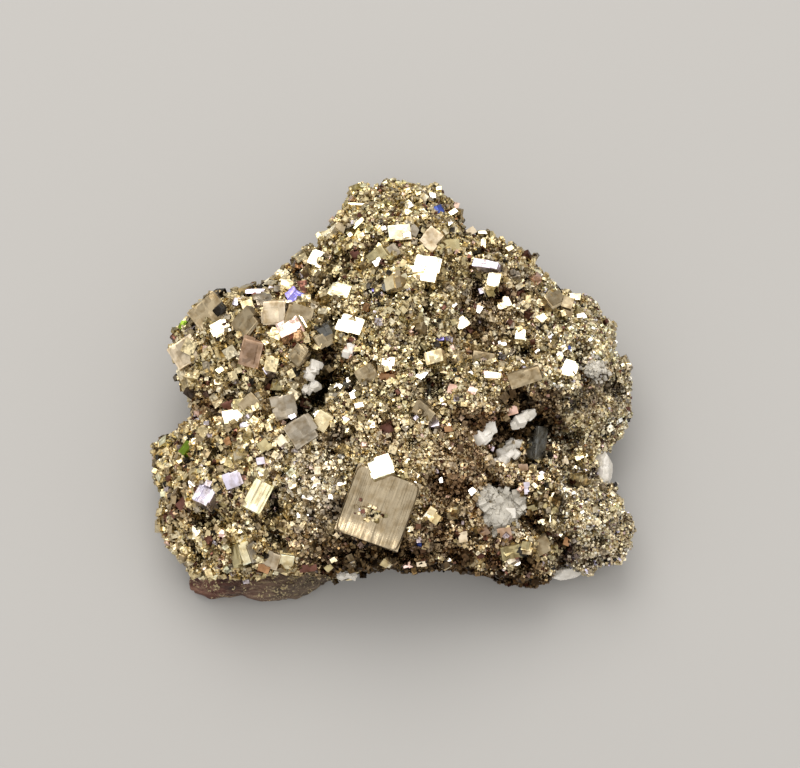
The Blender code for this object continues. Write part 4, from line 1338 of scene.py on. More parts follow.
@dataclass
class Graph:
    """A node tree that is being wired."""

    tree: NodeTree

    def wire(self, node: Node, sockets: dict[Any, Any]) -> None:
        """Fills a node's inputs, each with a value or with a link from an output."""
        for key, value in sockets.items():
            if isinstance(value, Socket):
                self.tree.links.new(value, node.inputs[key])
            else:
                node.inputs[key].default_value = value

    def node(self, kind: str, inputs: dict[Any, Any] | None = None, **settings: Any) -> Node:
        """Adds a node with its settings and fills its inputs.

        Args:
            kind: Type of the node.
            inputs: Values or sockets by input.
            settings: Its settings by name.

        Returns:
            The new node.
        """
        made = self.tree.nodes.new(kind)
        for name, value in settings.items():
            setattr(made, name, value)
        self.wire(made, inputs or {})
        return made

    def maths(self, operation: str, a: Any, b: Any = 0.0, clamp: bool = False) -> Socket:
        """Adds a Math node and gives its output."""
        inputs = {0: a, 1: b}
        return self.node("ShaderNodeMath", inputs, operation=operation, use_clamp=clamp).outputs[0]

    def vector(self, operation: str, a: Any, b: Any = (0.0, 0.0, 0.0), scale: Any = 1.0) -> Socket:
        """Adds a Vector Math node and gives its output."""
        inputs = {0: a, 1: b, 3: scale}
        return self.node("ShaderNodeVectorMath", inputs, operation=operation).outputs[0]

    def blend(self, share: Any, a: Any, b: Any, kind: str = "MIX") -> Socket:
        """Adds a colour Mix node and gives its output."""
        inputs = {0: share, 6: a, 7: b}
        return self.node("ShaderNodeMix", inputs, data_type="RGBA", blend_type=kind).outputs[2]

    def band(self, value: Any, low: float, high: float, to_low: float = 0.0, to_high: float = 1.0) -> Socket:
        """Adds a clamped Map Range node and gives its output."""
        return self.node("ShaderNodeMapRange", {0: value, 1: low, 2: high, 3: to_low, 4: to_high}).outputs[0]

    def ramp(self, value: Any, stops: list[tuple[float, tuple]], step: bool = False) -> Socket:
        """Adds a Color Ramp node with its stops and gives its colour.

        Args:
            value: What runs along the ramp.
            stops: Places and colours of its stops.
            step: Whether the colours change in steps.

        Returns:
            The ramp's colour.
        """
        made = self.node("ShaderNodeValToRGB", {0: value})
        made.color_ramp.interpolation = "CONSTANT" if step else "LINEAR"
        ends = made.color_ramp.elements
        while len(ends) < len(stops):
            ends.new(0.5)
        for end, (place, colour) in zip(ends, stops):
            end.position = place
            end.color = (*colour, 1.0)
        return made.outputs[0]

    def noise(self, where: Any, scale: float, detail: float = 2.0) -> Socket:
        """Adds a Noise Texture and gives its value."""
        inputs = {"Vector": where, "Scale": scale, "Detail": detail, "Roughness": 0.6}
        return self.node("ShaderNodeTexNoise", inputs).outputs[0]

    def cells(self, where: Any, scale: float, distance: str = "EUCLIDEAN") -> Socket:
        """Adds a Voronoi Texture and gives the colour of its cells."""
        inputs = {"Vector": where, "Scale": scale}
        return self.node("ShaderNodeTexVoronoi", inputs, distance=distance).outputs["Color"]

    def place(self) -> Socket:
        """The place on the object, in metres."""
        return self.node("ShaderNodeTexCoord").outputs["Object"]

    def growth(self) -> Socket:
        """The place on the crystal face, in mm."""
        return self.node("ShaderNodeUVMap", uv_map="growth").outputs[0]

    def held(self, name: str, output: str = "Fac") -> Socket:
        """What the mesh holds under a name."""
        return self.node("ShaderNodeAttribute", attribute_name=name).outputs[output]

    def parted(self, colour: Socket) -> list[Socket]:
        """The red, green and blue of a colour."""
        return list(self.node("ShaderNodeSeparateColor", {0: colour}).outputs)

    def leaned(self, cells: Socket, amount: float) -> Socket:
        """The normal, leaned another way in each cell.

        Args:
            cells: Colours of the cells.
            amount: How far the normal leans.

        Returns:
            The leaned normal.
        """
        own = self.node("ShaderNodeNewGeometry").outputs["Normal"]
        tilt = self.vector("SUBTRACT", cells, (0.5, 0.5, 0.5))
        return self.vector("NORMALIZE", self.vector("ADD", own, self.vector("SCALE", tilt, scale=amount)))

    def bump(self, height: Socket, strength: float, distance: float = FACE_BUMP, **more: Any) -> Socket:
        """Adds a Bump node and gives its normal."""
        inputs = {"Height": height, "Strength": strength, "Distance": distance, **more}
        return self.node("ShaderNodeBump", inputs).outputs[0]


def group_of(
    name: str, inputs: dict[str, float | None], outputs: dict[str, str]
) -> tuple[NodeTree, Graph, Any, Node]:
    """Starts a shader node group.

    Args:
        name: Name of the group.
        inputs: Default of each input that is a number, and None for a colour.
        outputs: Kind of each output.

    Returns:
        The group's tree, its Graph, the outputs of its input node and its output node.
    """
    tree = bpy.data.node_groups.new(name, "ShaderNodeTree")
    for label, default in inputs.items():
        kind = COLOUR if default is None else NUMBER
        socket = tree.interface.new_socket(label, in_out="INPUT", socket_type=kind)
        if default is not None:
            socket.default_value = default
    for label, kind in outputs.items():
        tree.interface.new_socket(label, in_out="OUTPUT", socket_type=kind)
    graph = Graph(tree)
    return tree, graph, graph.node("NodeGroupInput").outputs, graph.node("NodeGroupOutput")


class Effects:
    """Node groups that several finishes share, each made once."""

    def __init__(self) -> None:
        """Makes the groups."""
        self.film = self.make_film()
        self.striation = self.make_striation()
        self.unevenness = self.make_unevenness()

    @staticmethod
    def make_film() -> NodeTree:
        """A thin brown film in patches, which darkens and dulls what it lies on.

        Returns:
            The effect's node tree.
        """
        tree, graph, given, put = group_of(
            "film",
            {"Tint": None, "Dull": 0.2, "Scale": 700.0, "Amount": 0.5},
            {"Color": COLOUR, "Roughness": NUMBER},
        )
        inputs = {"Vector": graph.place(), "Scale": given["Scale"], "Detail": 3.0}
        noise = graph.node("ShaderNodeTexNoise", inputs).outputs[0]
        patch = graph.maths("MULTIPLY", graph.band(noise, 0.42, 0.7), given["Amount"], clamp=True)
        filmed = graph.blend(1.0, given["Tint"], (0.50, 0.40, 0.24, 1.0), "MULTIPLY")
        dulled = graph.maths("ADD", given["Dull"], graph.maths("MULTIPLY", patch, 0.25), clamp=True)
        graph.wire(put, {"Color": graph.blend(patch, given["Tint"], filmed), "Roughness": dulled})
        return tree

    @staticmethod
    def make_striation() -> NodeTree:
        """Fine parallel steps along a crystal face, uneven in spacing and in length.

        Returns:
            The effect's node tree.
        """
        tree, graph, given, put = group_of(
            "striation", {"Density": 5.0, "Strength": 1.0}, {"Height": NUMBER}
        )
        drawn_out = graph.vector("MULTIPLY", graph.growth(), (1.0, 0.07, 1.0))
        inputs = {"Vector": drawn_out, "Scale": given["Density"], "Detail": 3.0}
        lines = graph.node("ShaderNodeTexNoise", inputs).outputs[0]
        steps = graph.maths("SNAP", lines, 0.06)
        graph.wire(put, {0: graph.maths("MULTIPLY", steps, given["Strength"])})
        return tree

    @staticmethod
    def make_unevenness() -> NodeTree:
        """Slight unevenness of a grown face, with a few small pits.

        Returns:
            The effect's node tree.
        """
        tree, graph, given, put = group_of("unevenness", {"Scale": 1500.0}, {"Height": NUMBER})
        place = graph.place()
        inputs = {"Vector": place, "Scale": given["Scale"], "Detail": 4.0}
        noise = graph.node("ShaderNodeTexNoise", inputs).outputs[0]
        fine = graph.maths("MULTIPLY", given["Scale"], 2.3)
        pits = graph.node("ShaderNodeTexVoronoi", {"Vector": place, "Scale": fine}).outputs[0]
        rims = graph.maths("MULTIPLY", graph.band(pits, 0.05, 0.16), 0.12)
        graph.wire(put, {0: graph.maths("ADD", noise, rims)})
        return tree


def new_material(name: str) -> tuple[Material, Graph, Node]:
    """A material with its Graph and its Principled BSDF.

    Args:
        name: Name of the material.

    Returns:
        The material, its Graph and its shader.
    """
    material = bpy.data.materials.new(name)
    material.use_nodes = True
    return material, Graph(material.node_tree), material.node_tree.nodes["Principled BSDF"]


@dataclass(frozen=True)
class CrystalFinish:
    """Bright metallic crystal faces, tinted and dulled face by face.

    Attributes:
        name: Name of the material.
        film: How much of the brown film lies on it.
        film_scale: Scale of the film's patches.
        striation: Height of the striation.
        bump: Strength of the fine relief.
        waves: Strength of the slow waves.
        wave_scale: Scale of the slow waves.
        mosaic: How far the parts of a face lean; 0 leaves it whole.
        mosaic_scale: Scale of the parts.
        grown: Whether the parts are square and lie along the face.
        tones: Shade of the darkest and of the lightest part.
    """

    name: str = "crystal_faces"
    film: float = 0.55
    film_scale: float = 900.0
    striation: float = 1.0
    bump: float = 0.12
    waves: float = 0.5
    wave_scale: float = 520.0
    mosaic: float = 0.0
    mosaic_scale: float = 3200.0
    grown: bool = False
    tones: tuple[float, float] = (0.7, 1.2)

    def material(self, effects: Effects) -> Material:
        """Builds the material from the faces' own tint, roughness and streaks.

        Args:
            effects: The effects that the faces share.

        Returns:
            The new material.
        """
        material, graph, shader = new_material(self.name)
        given = {
            "Tint": graph.held("tint", "Color"),
            "Dull": graph.held("dull"),
            "Scale": self.film_scale,
            "Amount": self.film,
        }
        film = graph.node("ShaderNodeGroup", given, node_tree=effects.film)
        strength = graph.maths("MULTIPLY", graph.held("streak"), self.striation)
        lines = graph.node("ShaderNodeGroup", {"Strength": strength}, node_tree=effects.striation)
        uneven = graph.node("ShaderNodeGroup", node_tree=effects.unevenness)
        height = graph.maths("ADD", lines.outputs[0], graph.maths("MULTIPLY", uneven.outputs[0], 0.35))
        place, colour, leaned = graph.place(), film.outputs["Color"], {}
        if self.mosaic:
            where = graph.growth() if self.grown else place
            cells = graph.cells(where, self.mosaic_scale, "CHEBYCHEV" if self.grown else "EUCLIDEAN")
            leaned["Normal"] = graph.leaned(cells, self.mosaic)
            tone = graph.band(graph.parted(cells)[2], 0.0, 1.0, *self.tones)
            colour = graph.vector("SCALE", colour, scale=tone)
        waves = graph.bump(graph.noise(place, self.wave_scale), self.waves, **leaned)
        inputs = {
            "Base Color": colour,
            "Roughness": film.outputs["Roughness"],
            "Normal": graph.bump(height, self.bump, Normal=waves),
            "Metallic": 1.0,
        }
        graph.wire(shader, inputs)
        return material


@dataclass(frozen=True)
class GroundmassFinish:
    """The fine-grained ground between the crystals, with painted shade in its hollows and on its front
    flank.
    """

    name: str = "groundmass"
    grain: float = 2700.0
    lean: float = 1.1
    # Colour that the painted shade multiplies in
    shade_colour: tuple[float, ...] = (0.16, 0.10, 0.06, 1.0)
    stops: tuple[tuple[float, tuple[float, float, float]], ...] = (
        (0.0, (0.12, 0.08, 0.045)),
        (0.12, (0.34, 0.25, 0.14)),
        (0.32, (0.52, 0.42, 0.25)),
        (0.6, (0.64, 0.54, 0.34)),
        (0.86, (0.80, 0.72, 0.52)),
    )

    def material(self) -> Material:
        """Builds the material: each grain has a colour and a tilt of its own, and painted shade darkens and
        dulls it where the shade depth is high.

        Returns:
            The new material.
        """
        material, graph, shader = new_material(self.name)
        grains = graph.cells(graph.place(), self.grain)
        red, green, _ = graph.parted(grains)[:3]
        colour = graph.ramp(red, self.stops, step=True)
        # Painted shade from the skin's shade depth
        shade_share = graph.band(graph.held("shade_depth"), 0.0, 0.75)
        shaded = graph.blend(1.0, colour, self.shade_colour, "MULTIPLY")
        own_dullness = graph.band(green, 0.0, 1.0, 0.2, 0.5)
        inputs = {
            "Base Color": graph.blend(shade_share, colour, shaded),
            "Roughness": graph.maths("ADD", own_dullness, graph.maths("MULTIPLY", shade_share, 0.2)),
            "Normal": graph.leaned(grains, self.lean),
            "Metallic": 1.0,
        }
        graph.wire(shader, inputs)
        return material


@dataclass(frozen=True)
class RockFinish:
    """Dark red-brown host rock with grey-brown streaks and specks of pyrite."""

    name: str = "host_rock"
    speck: float = 4600.0
    vein_colour: tuple[float, ...] = (0.42, 0.33, 0.19, 1.0)
    speck_colour: tuple[float, ...] = (0.58, 0.48, 0.28, 1.0)

    def material(self) -> Material:
        """Builds the material, redder at the ledge's left end, veined to the right.

        Returns:
            The new material.
        """
        material, graph, shader = new_material(self.name)
        place = graph.place()
        layered = graph.vector("MULTIPLY", place, (0.35, 1.0, 1.6))
        blotch = graph.noise(layered, 620.0, 5.0)
        red = [(0.3, (0.020, 0.008, 0.005)), (0.5, (0.10, 0.034, 0.022)), (0.72, (0.25, 0.13, 0.085))]
        grey = [(0.3, (0.03, 0.02, 0.014)), (0.7, (0.21, 0.15, 0.10))]
        along = graph.node("ShaderNodeSeparateXYZ", {0: place}).outputs[0]
        right = graph.band(along, -0.024, -0.012)
        rock = graph.blend(right, graph.ramp(blotch, red), graph.ramp(blotch, grey))
        fine = graph.noise(graph.vector("MULTIPLY", place, (0.3, 1.0, 1.5)), 2600.0, 3.0)
        reach = graph.band(right, 0.0, 1.0, 0.3, 0.75)
        veins = graph.maths("MULTIPLY", graph.band(fine, 0.54, 0.66), reach)
        rock = graph.blend(veins, rock, self.vein_colour)
        pick = graph.parted(graph.cells(place, self.speck))[0]
        patchy = graph.maths("MULTIPLY", pick, graph.noise(place, 500.0))
        speck = graph.maths("GREATER_THAN", patchy, 0.46)
        height = graph.maths("ADD", graph.noise(place, 2600.0, 5.0), graph.noise(layered, 1000.0, 4.0))
        inputs = {
            "Base Color": graph.blend(speck, rock, self.speck_colour),
            "Metallic": speck,
            "Roughness": graph.band(speck, 0.0, 1.0, 0.8, 0.3),
            "Normal": graph.bump(height, 1.0, ROCK_BUMP),
        }
        graph.wire(shader, inputs)
        return material


@dataclass(frozen=True)
class QuartzFinish:
    """White to grey quartz, slightly clear, with a sugary surface."""

    name: str = "quartz"
    light: tuple[float, float, float] = (0.93, 0.88, 0.80)
    shade: tuple[float, float, float] = (0.74, 0.69, 0.60)
    clear: float = 0.25
    specks: float = 0.0

    def material(self) -> Material:
        """Builds the material with its clouding, its specks if any and a fine bump.

        Returns:
            The new material.
        """
        material, graph, shader = new_material(self.name)
        place = graph.place()
        cloud = graph.band(graph.noise(place, 700.0, 3.0), 0.35, 0.65)
        colour = graph.blend(cloud, (*self.shade, 1.0), (*self.light, 1.0))
        if self.specks:
            dirt = graph.maths("GREATER_THAN", graph.noise(place, 1900.0, 3.0), 1.0 - 0.8 * self.specks)
            colour = graph.blend(dirt, colour, (0.05, 0.045, 0.04, 1.0))
        inputs = {
            "Base Color": colour,
            "Roughness": graph.band(cloud, 0.0, 1.0, 0.45, 0.25),
            "Normal": graph.bump(graph.noise(place, 3000.0, 4.0), 0.35),
            "IOR": 1.54,
            "Transmission Weight": self.clear,
        }
        graph.wire(shader, inputs)
        return material


@dataclass(frozen=True)
class QuartzPieces:
    """The patch, the chips, the bits, the flake and the rim of quartz.

    Attributes:
        form: The form that the quartz is set in.
        view: The photograph's view.
        skin: The skin that the film lies on.
        clean: Material of the clean quartz.
        specked: Material of the quartz with dark specks.
        around: Points round a ring of a nodule.
        down: Rings of a nodule.
        sugar: How many grains lie on the patch.
        dust: How many grains the film has.
        lumps: How many lumps make up a chip.
    """

    form: MassForm
    view: Viewpoint
    skin: Skin
    clean: Material
    specked: Material
    around: int = 72
    down: int = 37
    sugar: int = 300
    dust: int = 110
    lumps: int = 6

    def nodule(self, middle: np.ndarray, radii: tuple[float, ...], twist: float, seed: int) -> np.ndarray:
        """Rings of a nodule: an ellipsoid whose radius rolls in and out, turned in plan.

        Flats are cut into it: a radius is drawn in to the nearest of a few planes.

        Args:
            middle: Its middle in mm.
            radii: Its three radii in mm.
            twist: Its turn in plan in degrees.
            seed: Chooses its lumps.

        Returns:
            Points by ring and angle, top first, in mm.
        """
        theta = np.linspace(0.0, 2 * math.pi, self.around, endpoint=False)[None, :]
        polar = np.linspace(0.0, math.pi, self.down)[:, None]
        level = np.sin(polar)
        way = np.stack([level * np.cos(theta), level * np.sin(theta), np.cos(polar) + 0.0 * theta], axis=-1)
        lump = 1.0 + 0.22 * rolling(way + seed, 0.55, seed)
        rng = np.random.default_rng(seed + 300)
        for plane in unit(rng.standard_normal((7, 3))):
            depth = rng.uniform(0.72, 0.92)
            lump = np.minimum(lump, depth / np.maximum(way @ plane, 1e-3))
        lump = lump + 0.05 * rolling(way * radii + seed, 0.4, seed + 50)
        local = way * np.array(radii) * lump[..., None]
        return np.asarray(middle) + local @ about_z(np.array(math.radians(twist))).T

    def blocks(
        self, name: str, shape: BlockShape, middles: np.ndarray, edges: np.ndarray, turns: np.ndarray,
        material: Material, dent: float = 0.0,
    ) -> Object:
        """A piece of rounded blocks of quartz.

        Args:
            name: Name of the piece.
            shape: The shape of its blocks.
            middles: Their middles in mm.
            edges: Their edges in mm.
            turns: Their turns.
            material: Their material.
            dent: Depth in mm of the unevenness of their faces.

        Returns:
            The new object.
        """
        white, plain = np.ones((len(middles), 3)), np.zeros(len(middles))
        soup = shape.soup(middles, edges, turns, white, plain, plain, dent=dent)
        return soup.piece(name, "quartz", material)

    def fragments(self, name: str, middle: Any, radii: tuple[float, ...], twist: float) -> Object:
        """One chip of quartz: angular lumps grown together inside its ellipsoid.

        Args:
            name: Name of the piece.
            middle: Its middle in mm.
            radii: Its three radii in mm.
            twist: Its turn in plan in degrees.

        Returns:
            The new object.
        """
        rng = np.random.default_rng(sum(map(ord, name)))
        count = self.lumps
        along = np.linspace(-0.75, 0.75, count) + rng.uniform(-0.1, 0.1, count)
        local = np.column_stack([along, rng.uniform(-0.4, 0.4, count), rng.uniform(-0.1, 0.45, count)])
        middles = np.asarray(middle) + (local * radii) @ about_z(np.array(math.radians(twist))).T
        edges = np.array(radii)[[1, 1, 1]] * rng.uniform(0.85, 1.5, (count, 3))
        ways = unit(rng.standard_normal((count, 3)) + [0.0, 0.0, 0.8])
        turns = facing(ways, rng.uniform(0.0, math.pi, count))
        shape = BlockShape(6, sharpness=9.0, gather=1.2)
        return self.blocks(name, shape, middles, edges, turns, self.clean, dent=0.3)

    def grains(
        self, name: str, middles: np.ndarray, edges: np.ndarray, ways: np.ndarray, material: Material
    ) -> Object:
        """A piece of many small quartz grains.

        Args:
            name: Name of the piece.
            middles: Middles of the grains in mm.
            edges: Their edges in mm.
            ways: The direction that each one's top faces.
            material: Their material.

        Returns:
            The new object.
        """
        rng = np.random.default_rng(len(middles))
        turns = facing(unit(ways), rng.uniform(0.0, math.pi, len(middles)))
        return self.blocks(name, BlockShape(3, sharpness=9.0), middles, edges, turns, material)

    def patch_grains(self) -> None:
        """The sugary grains of the patch, ragged at its rim, and the crystal on it."""
        rng = np.random.default_rng(404)
        x, y, rx, ry, swell, cube = PATCH
        count = self.sugar
        angle = rng.uniform(0.0, 2 * math.pi, count)
        ragged = 1.0 + 0.17 * np.sin(3.0 * angle + 0.7) + 0.12 * np.sin(5.0 * angle)
        reach = np.sqrt(rng.random(count)) * ragged
        plan = np.column_stack([x + rx * reach * np.cos(angle), y + ry * reach * np.sin(angle)])
        dome = swell * np.sqrt(np.clip(1.0 - reach**2, 0.0, 1.0))
        rise = dome + rng.uniform(-0.2, 0.2, count)
        middles = np.column_stack([plan, self.form.crown(*plan.T) + rise])
        size = 0.3 + 1.0 * rng.random((count, 1)) ** 1.6
        edges = size * rng.uniform(0.6, 1.0, (count, 3))
        ways = 0.6 * rng.standard_normal((count, 3)) + [0.0, 0.0, 1.0]
        self.grains("quartz_patch_sugar", middles, edges, ways, self.specked)
        at = np.array([cube[:2]])
        top = np.column_stack([at, self.form.crown(*at.T) + swell + 0.15])
        edges, ways = np.array([[1.6, 1.5, 1.2]]), np.array([[0.1, -0.2, 1.0]])
        self.grains("quartz_patch_crystal", top, edges, ways, self.clean)

    def film_grains(self) -> None:
        """The pale film of fine grains on the right bulge."""
        rng = np.random.default_rng(405)
        column, row, wide, high = FILM
        pixels = np.array([column, row]) + rng.standard_normal((self.dust, 2)) * [wide, high]
        middles = self.view.on_skin(self.skin, pixels, 0.3)
        edges = rng.uniform(0.25, 0.75, (self.dust, 1)) * rng.uniform(0.6, 1.0, (self.dust, 3))
        ways = 0.4 * rng.standard_normal((self.dust, 3)) + [0.2, -0.3, 1.0]
        self.grains("quartz_film", middles, edges, ways, self.specked)

    def solids(self) -> None:
        """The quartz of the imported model, each piece in place of its solid."""
        places = []
        for name, (x, y, *radii, twist, lift) in QUARTZ.items():
            z = float(self.form.crown(np.array([x]), np.array([y]))[0]) + lift
            places.append((name, (x, y, z), tuple(radii), twist))
        for name, (x, y, z, *radii, twist) in QUARTZ_LOW.items():
            places.append((name, (x, y, z), tuple(radii), twist))
        for seed, (name, middle, radii, twist) in enumerate(places):
            patch = name == "quartz_patch"
            if "chip" in name:
                obj = self.fragments(f"{name}_lumps", middle, radii, twist)
            else:
                share = (0.9, 0.9, 0.6) if patch else (1.1, 1.1, 1.05)
                rings = self.nodule(middle, tuple(np.array(radii) * share), twist, seed)
                mesh = closed_grid(f"{name}_clear", rings)
                shade_round(mesh, 24.0)
                obj = new_piece(f"{name}_clear", "quartz", mesh, self.specked if patch else self.clean)
            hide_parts(name)

    def pieces(self) -> None:
        """Makes each piece."""
        self.solids()
        self.patch_grains()
        self.film_grains()
        for number, (column, row, *radii, twist, rise) in enumerate(QUARTZ_BITS, 1):
            middle = self.view.on_crown(self.form, np.array([[column, row]]), rise)[0]
            self.fragments(f"quartz_bit_{number}", middle, tuple(radii), twist)
        for name, x, y, z, *radii, twist in FLANK_BITS:
            self.fragments(name, (x, y, z), tuple(radii), twist)


@dataclass
class Strewn:
    """The lesser crystals all over the mass, at the seeded places of its solid."""

    form: MassForm
    count: int = 88
    seed: int = 11
    edge: tuple[float, float] = (1.7, 3.1)
    shape: tuple[float, float] = (0.65, 1.0)
    bare: tuple[tuple[float, float, float], ...] = (
        (28.8, -26.5, 3.0),
        (1.8, 28.6, 3.0),
        (33.0, -2.5, 4.0),
        (27.5, 3.5, 3.2),
    )

    def rows(self) -> tuple[np.ndarray, np.ndarray, np.ndarray]:
        """Middles, edges and turns of the crystals, in the order of the draws.

        Returns:
            The three arrays, a row for each crystal.
        """
        draw = np.random.RandomState(self.seed)
        middles, edges, angles = [], [], []
        for _ in range(self.count):
            theta = draw.uniform(0.0, 2 * math.pi)
            level = math.sqrt(draw.uniform(0.02, 2.6))
            edge = draw.uniform(*self.edge)
            twist, compass = draw.uniform(0.0, 360.0, 2)
            lean = draw.uniform(0.0, 55.0)
            place = self.form.point(np.array([theta]), np.array([level]))[0]
            place[2] = max(place[2], 3.2)
            if self.beside_quartz(place, edge):
                continue
            keep = all(math.hypot(place[0] - x, place[1] - y) > reach for x, y, reach in self.bare)
            width = edge * draw.uniform(*self.shape)
            if keep:
                middles.append(place)
                edges.append((edge, width, edge))
                angles.append((twist, compass, lean))
        turns = turned(*np.array(angles).T)
        return np.array(middles), np.array(edges), turns

    @staticmethod
    def beside_quartz(place: np.ndarray, edge: float) -> bool:
        """Whether a crystal of that edge would cut into a piece of quartz.

        Args:
            place: Where the crystal stands in plan, in mm.
            edge: Its edge in mm.

        Returns:
            True if it would.
        """
        spots = [(q[0], q[1], q[2]) for q in QUARTZ.values()]
        spots += [(q[0], q[1], q[4]) for q in QUARTZ_LOW.values()]
        return any(math.hypot(place[0] - x, place[1] - y) < r + edge for x, y, r in spots)


@dataclass
class Blocks:
    """Places of crystals as arrays: middles, edges, turns, tints and roughness."""

    middles: np.ndarray
    edges: np.ndarray
    turns: np.ndarray
    tint: np.ndarray
    dull: np.ndarray

    def hold(self, points: np.ndarray, margin: float) -> np.ndarray:
        """Which points lie inside a block drawn in by a margin, in mm.

        Args:
            points: Points in mm, before the box is centred.
            margin: How far the blocks are drawn in.

        Returns:
            True for each point inside.
        """
        found = np.zeros(len(points), bool)
        for middle, edge, turn in zip(self.middles, self.edges, self.turns):
            near = np.flatnonzero(((points - middle) ** 2).sum(axis=-1) < (edge**2).sum())
            local = np.abs((points[near] - middle) @ turn)
            found[near] |= (local < edge / 2.0 - margin).all(axis=-1)
        return found

    def soup(self, shape: BlockShape, streak: np.ndarray, **more: float) -> Soup:
        """The blocks as faces of one shape, striated so strongly."""
        held = (self.middles, self.edges, self.turns, self.tint, self.dull)
        return shape.soup(*held, streak, **more)


def wobble(rng: np.random.Generator, count: int, degrees: float) -> np.ndarray:
    """Small turns about level axes drawn at random, of about so many degrees."""
    compass = rng.uniform(0.0, 360.0, count)
    return turned(np.zeros(count), compass, degrees * np.abs(rng.standard_normal(count)))


def set_in(
    tops: np.ndarray, turns: np.ndarray, edges: np.ndarray, tints: list[Tarnish], dull: list[float]
) -> Blocks:
    """Blocks that hang from the middles of their top faces.

    Args:
        tops: Middles of the top faces in mm.
        turns: Their turns.
        edges: Their edges in mm.
        tints: Their tints.
        dull: Their roughness.

    Returns:
        The blocks.
    """
    middles = tops - turns[:, :, 2] * edges[:, 2:3] / 2.0
    return Blocks(middles, edges, turns, np.array([t.value for t in tints]), np.array(dull))


def placed(form: MassForm, crystals: list[Crystal]) -> Blocks:
    """Blocks of the crystals with a place of their own, set into the crown.

    Args:
        form: The form that they stand on.
        crystals: The crystals.

    Returns:
        Their blocks.
    """
    table = np.array(
        [(c.x, c.y, c.rise, c.along, c.across, c.deep, c.twist, c.compass, c.lean) for c in crystals]
    )
    x, y, rise = table[:, :3].T
    tops = np.stack([x, y, form.crown(x, y) + rise], axis=-1)
    tints, dull = [c.tarnish for c in crystals], [c.dullness for c in crystals]
    return set_in(tops, turned(*table[:, 6:].T), table[:, 3:6], tints, dull)


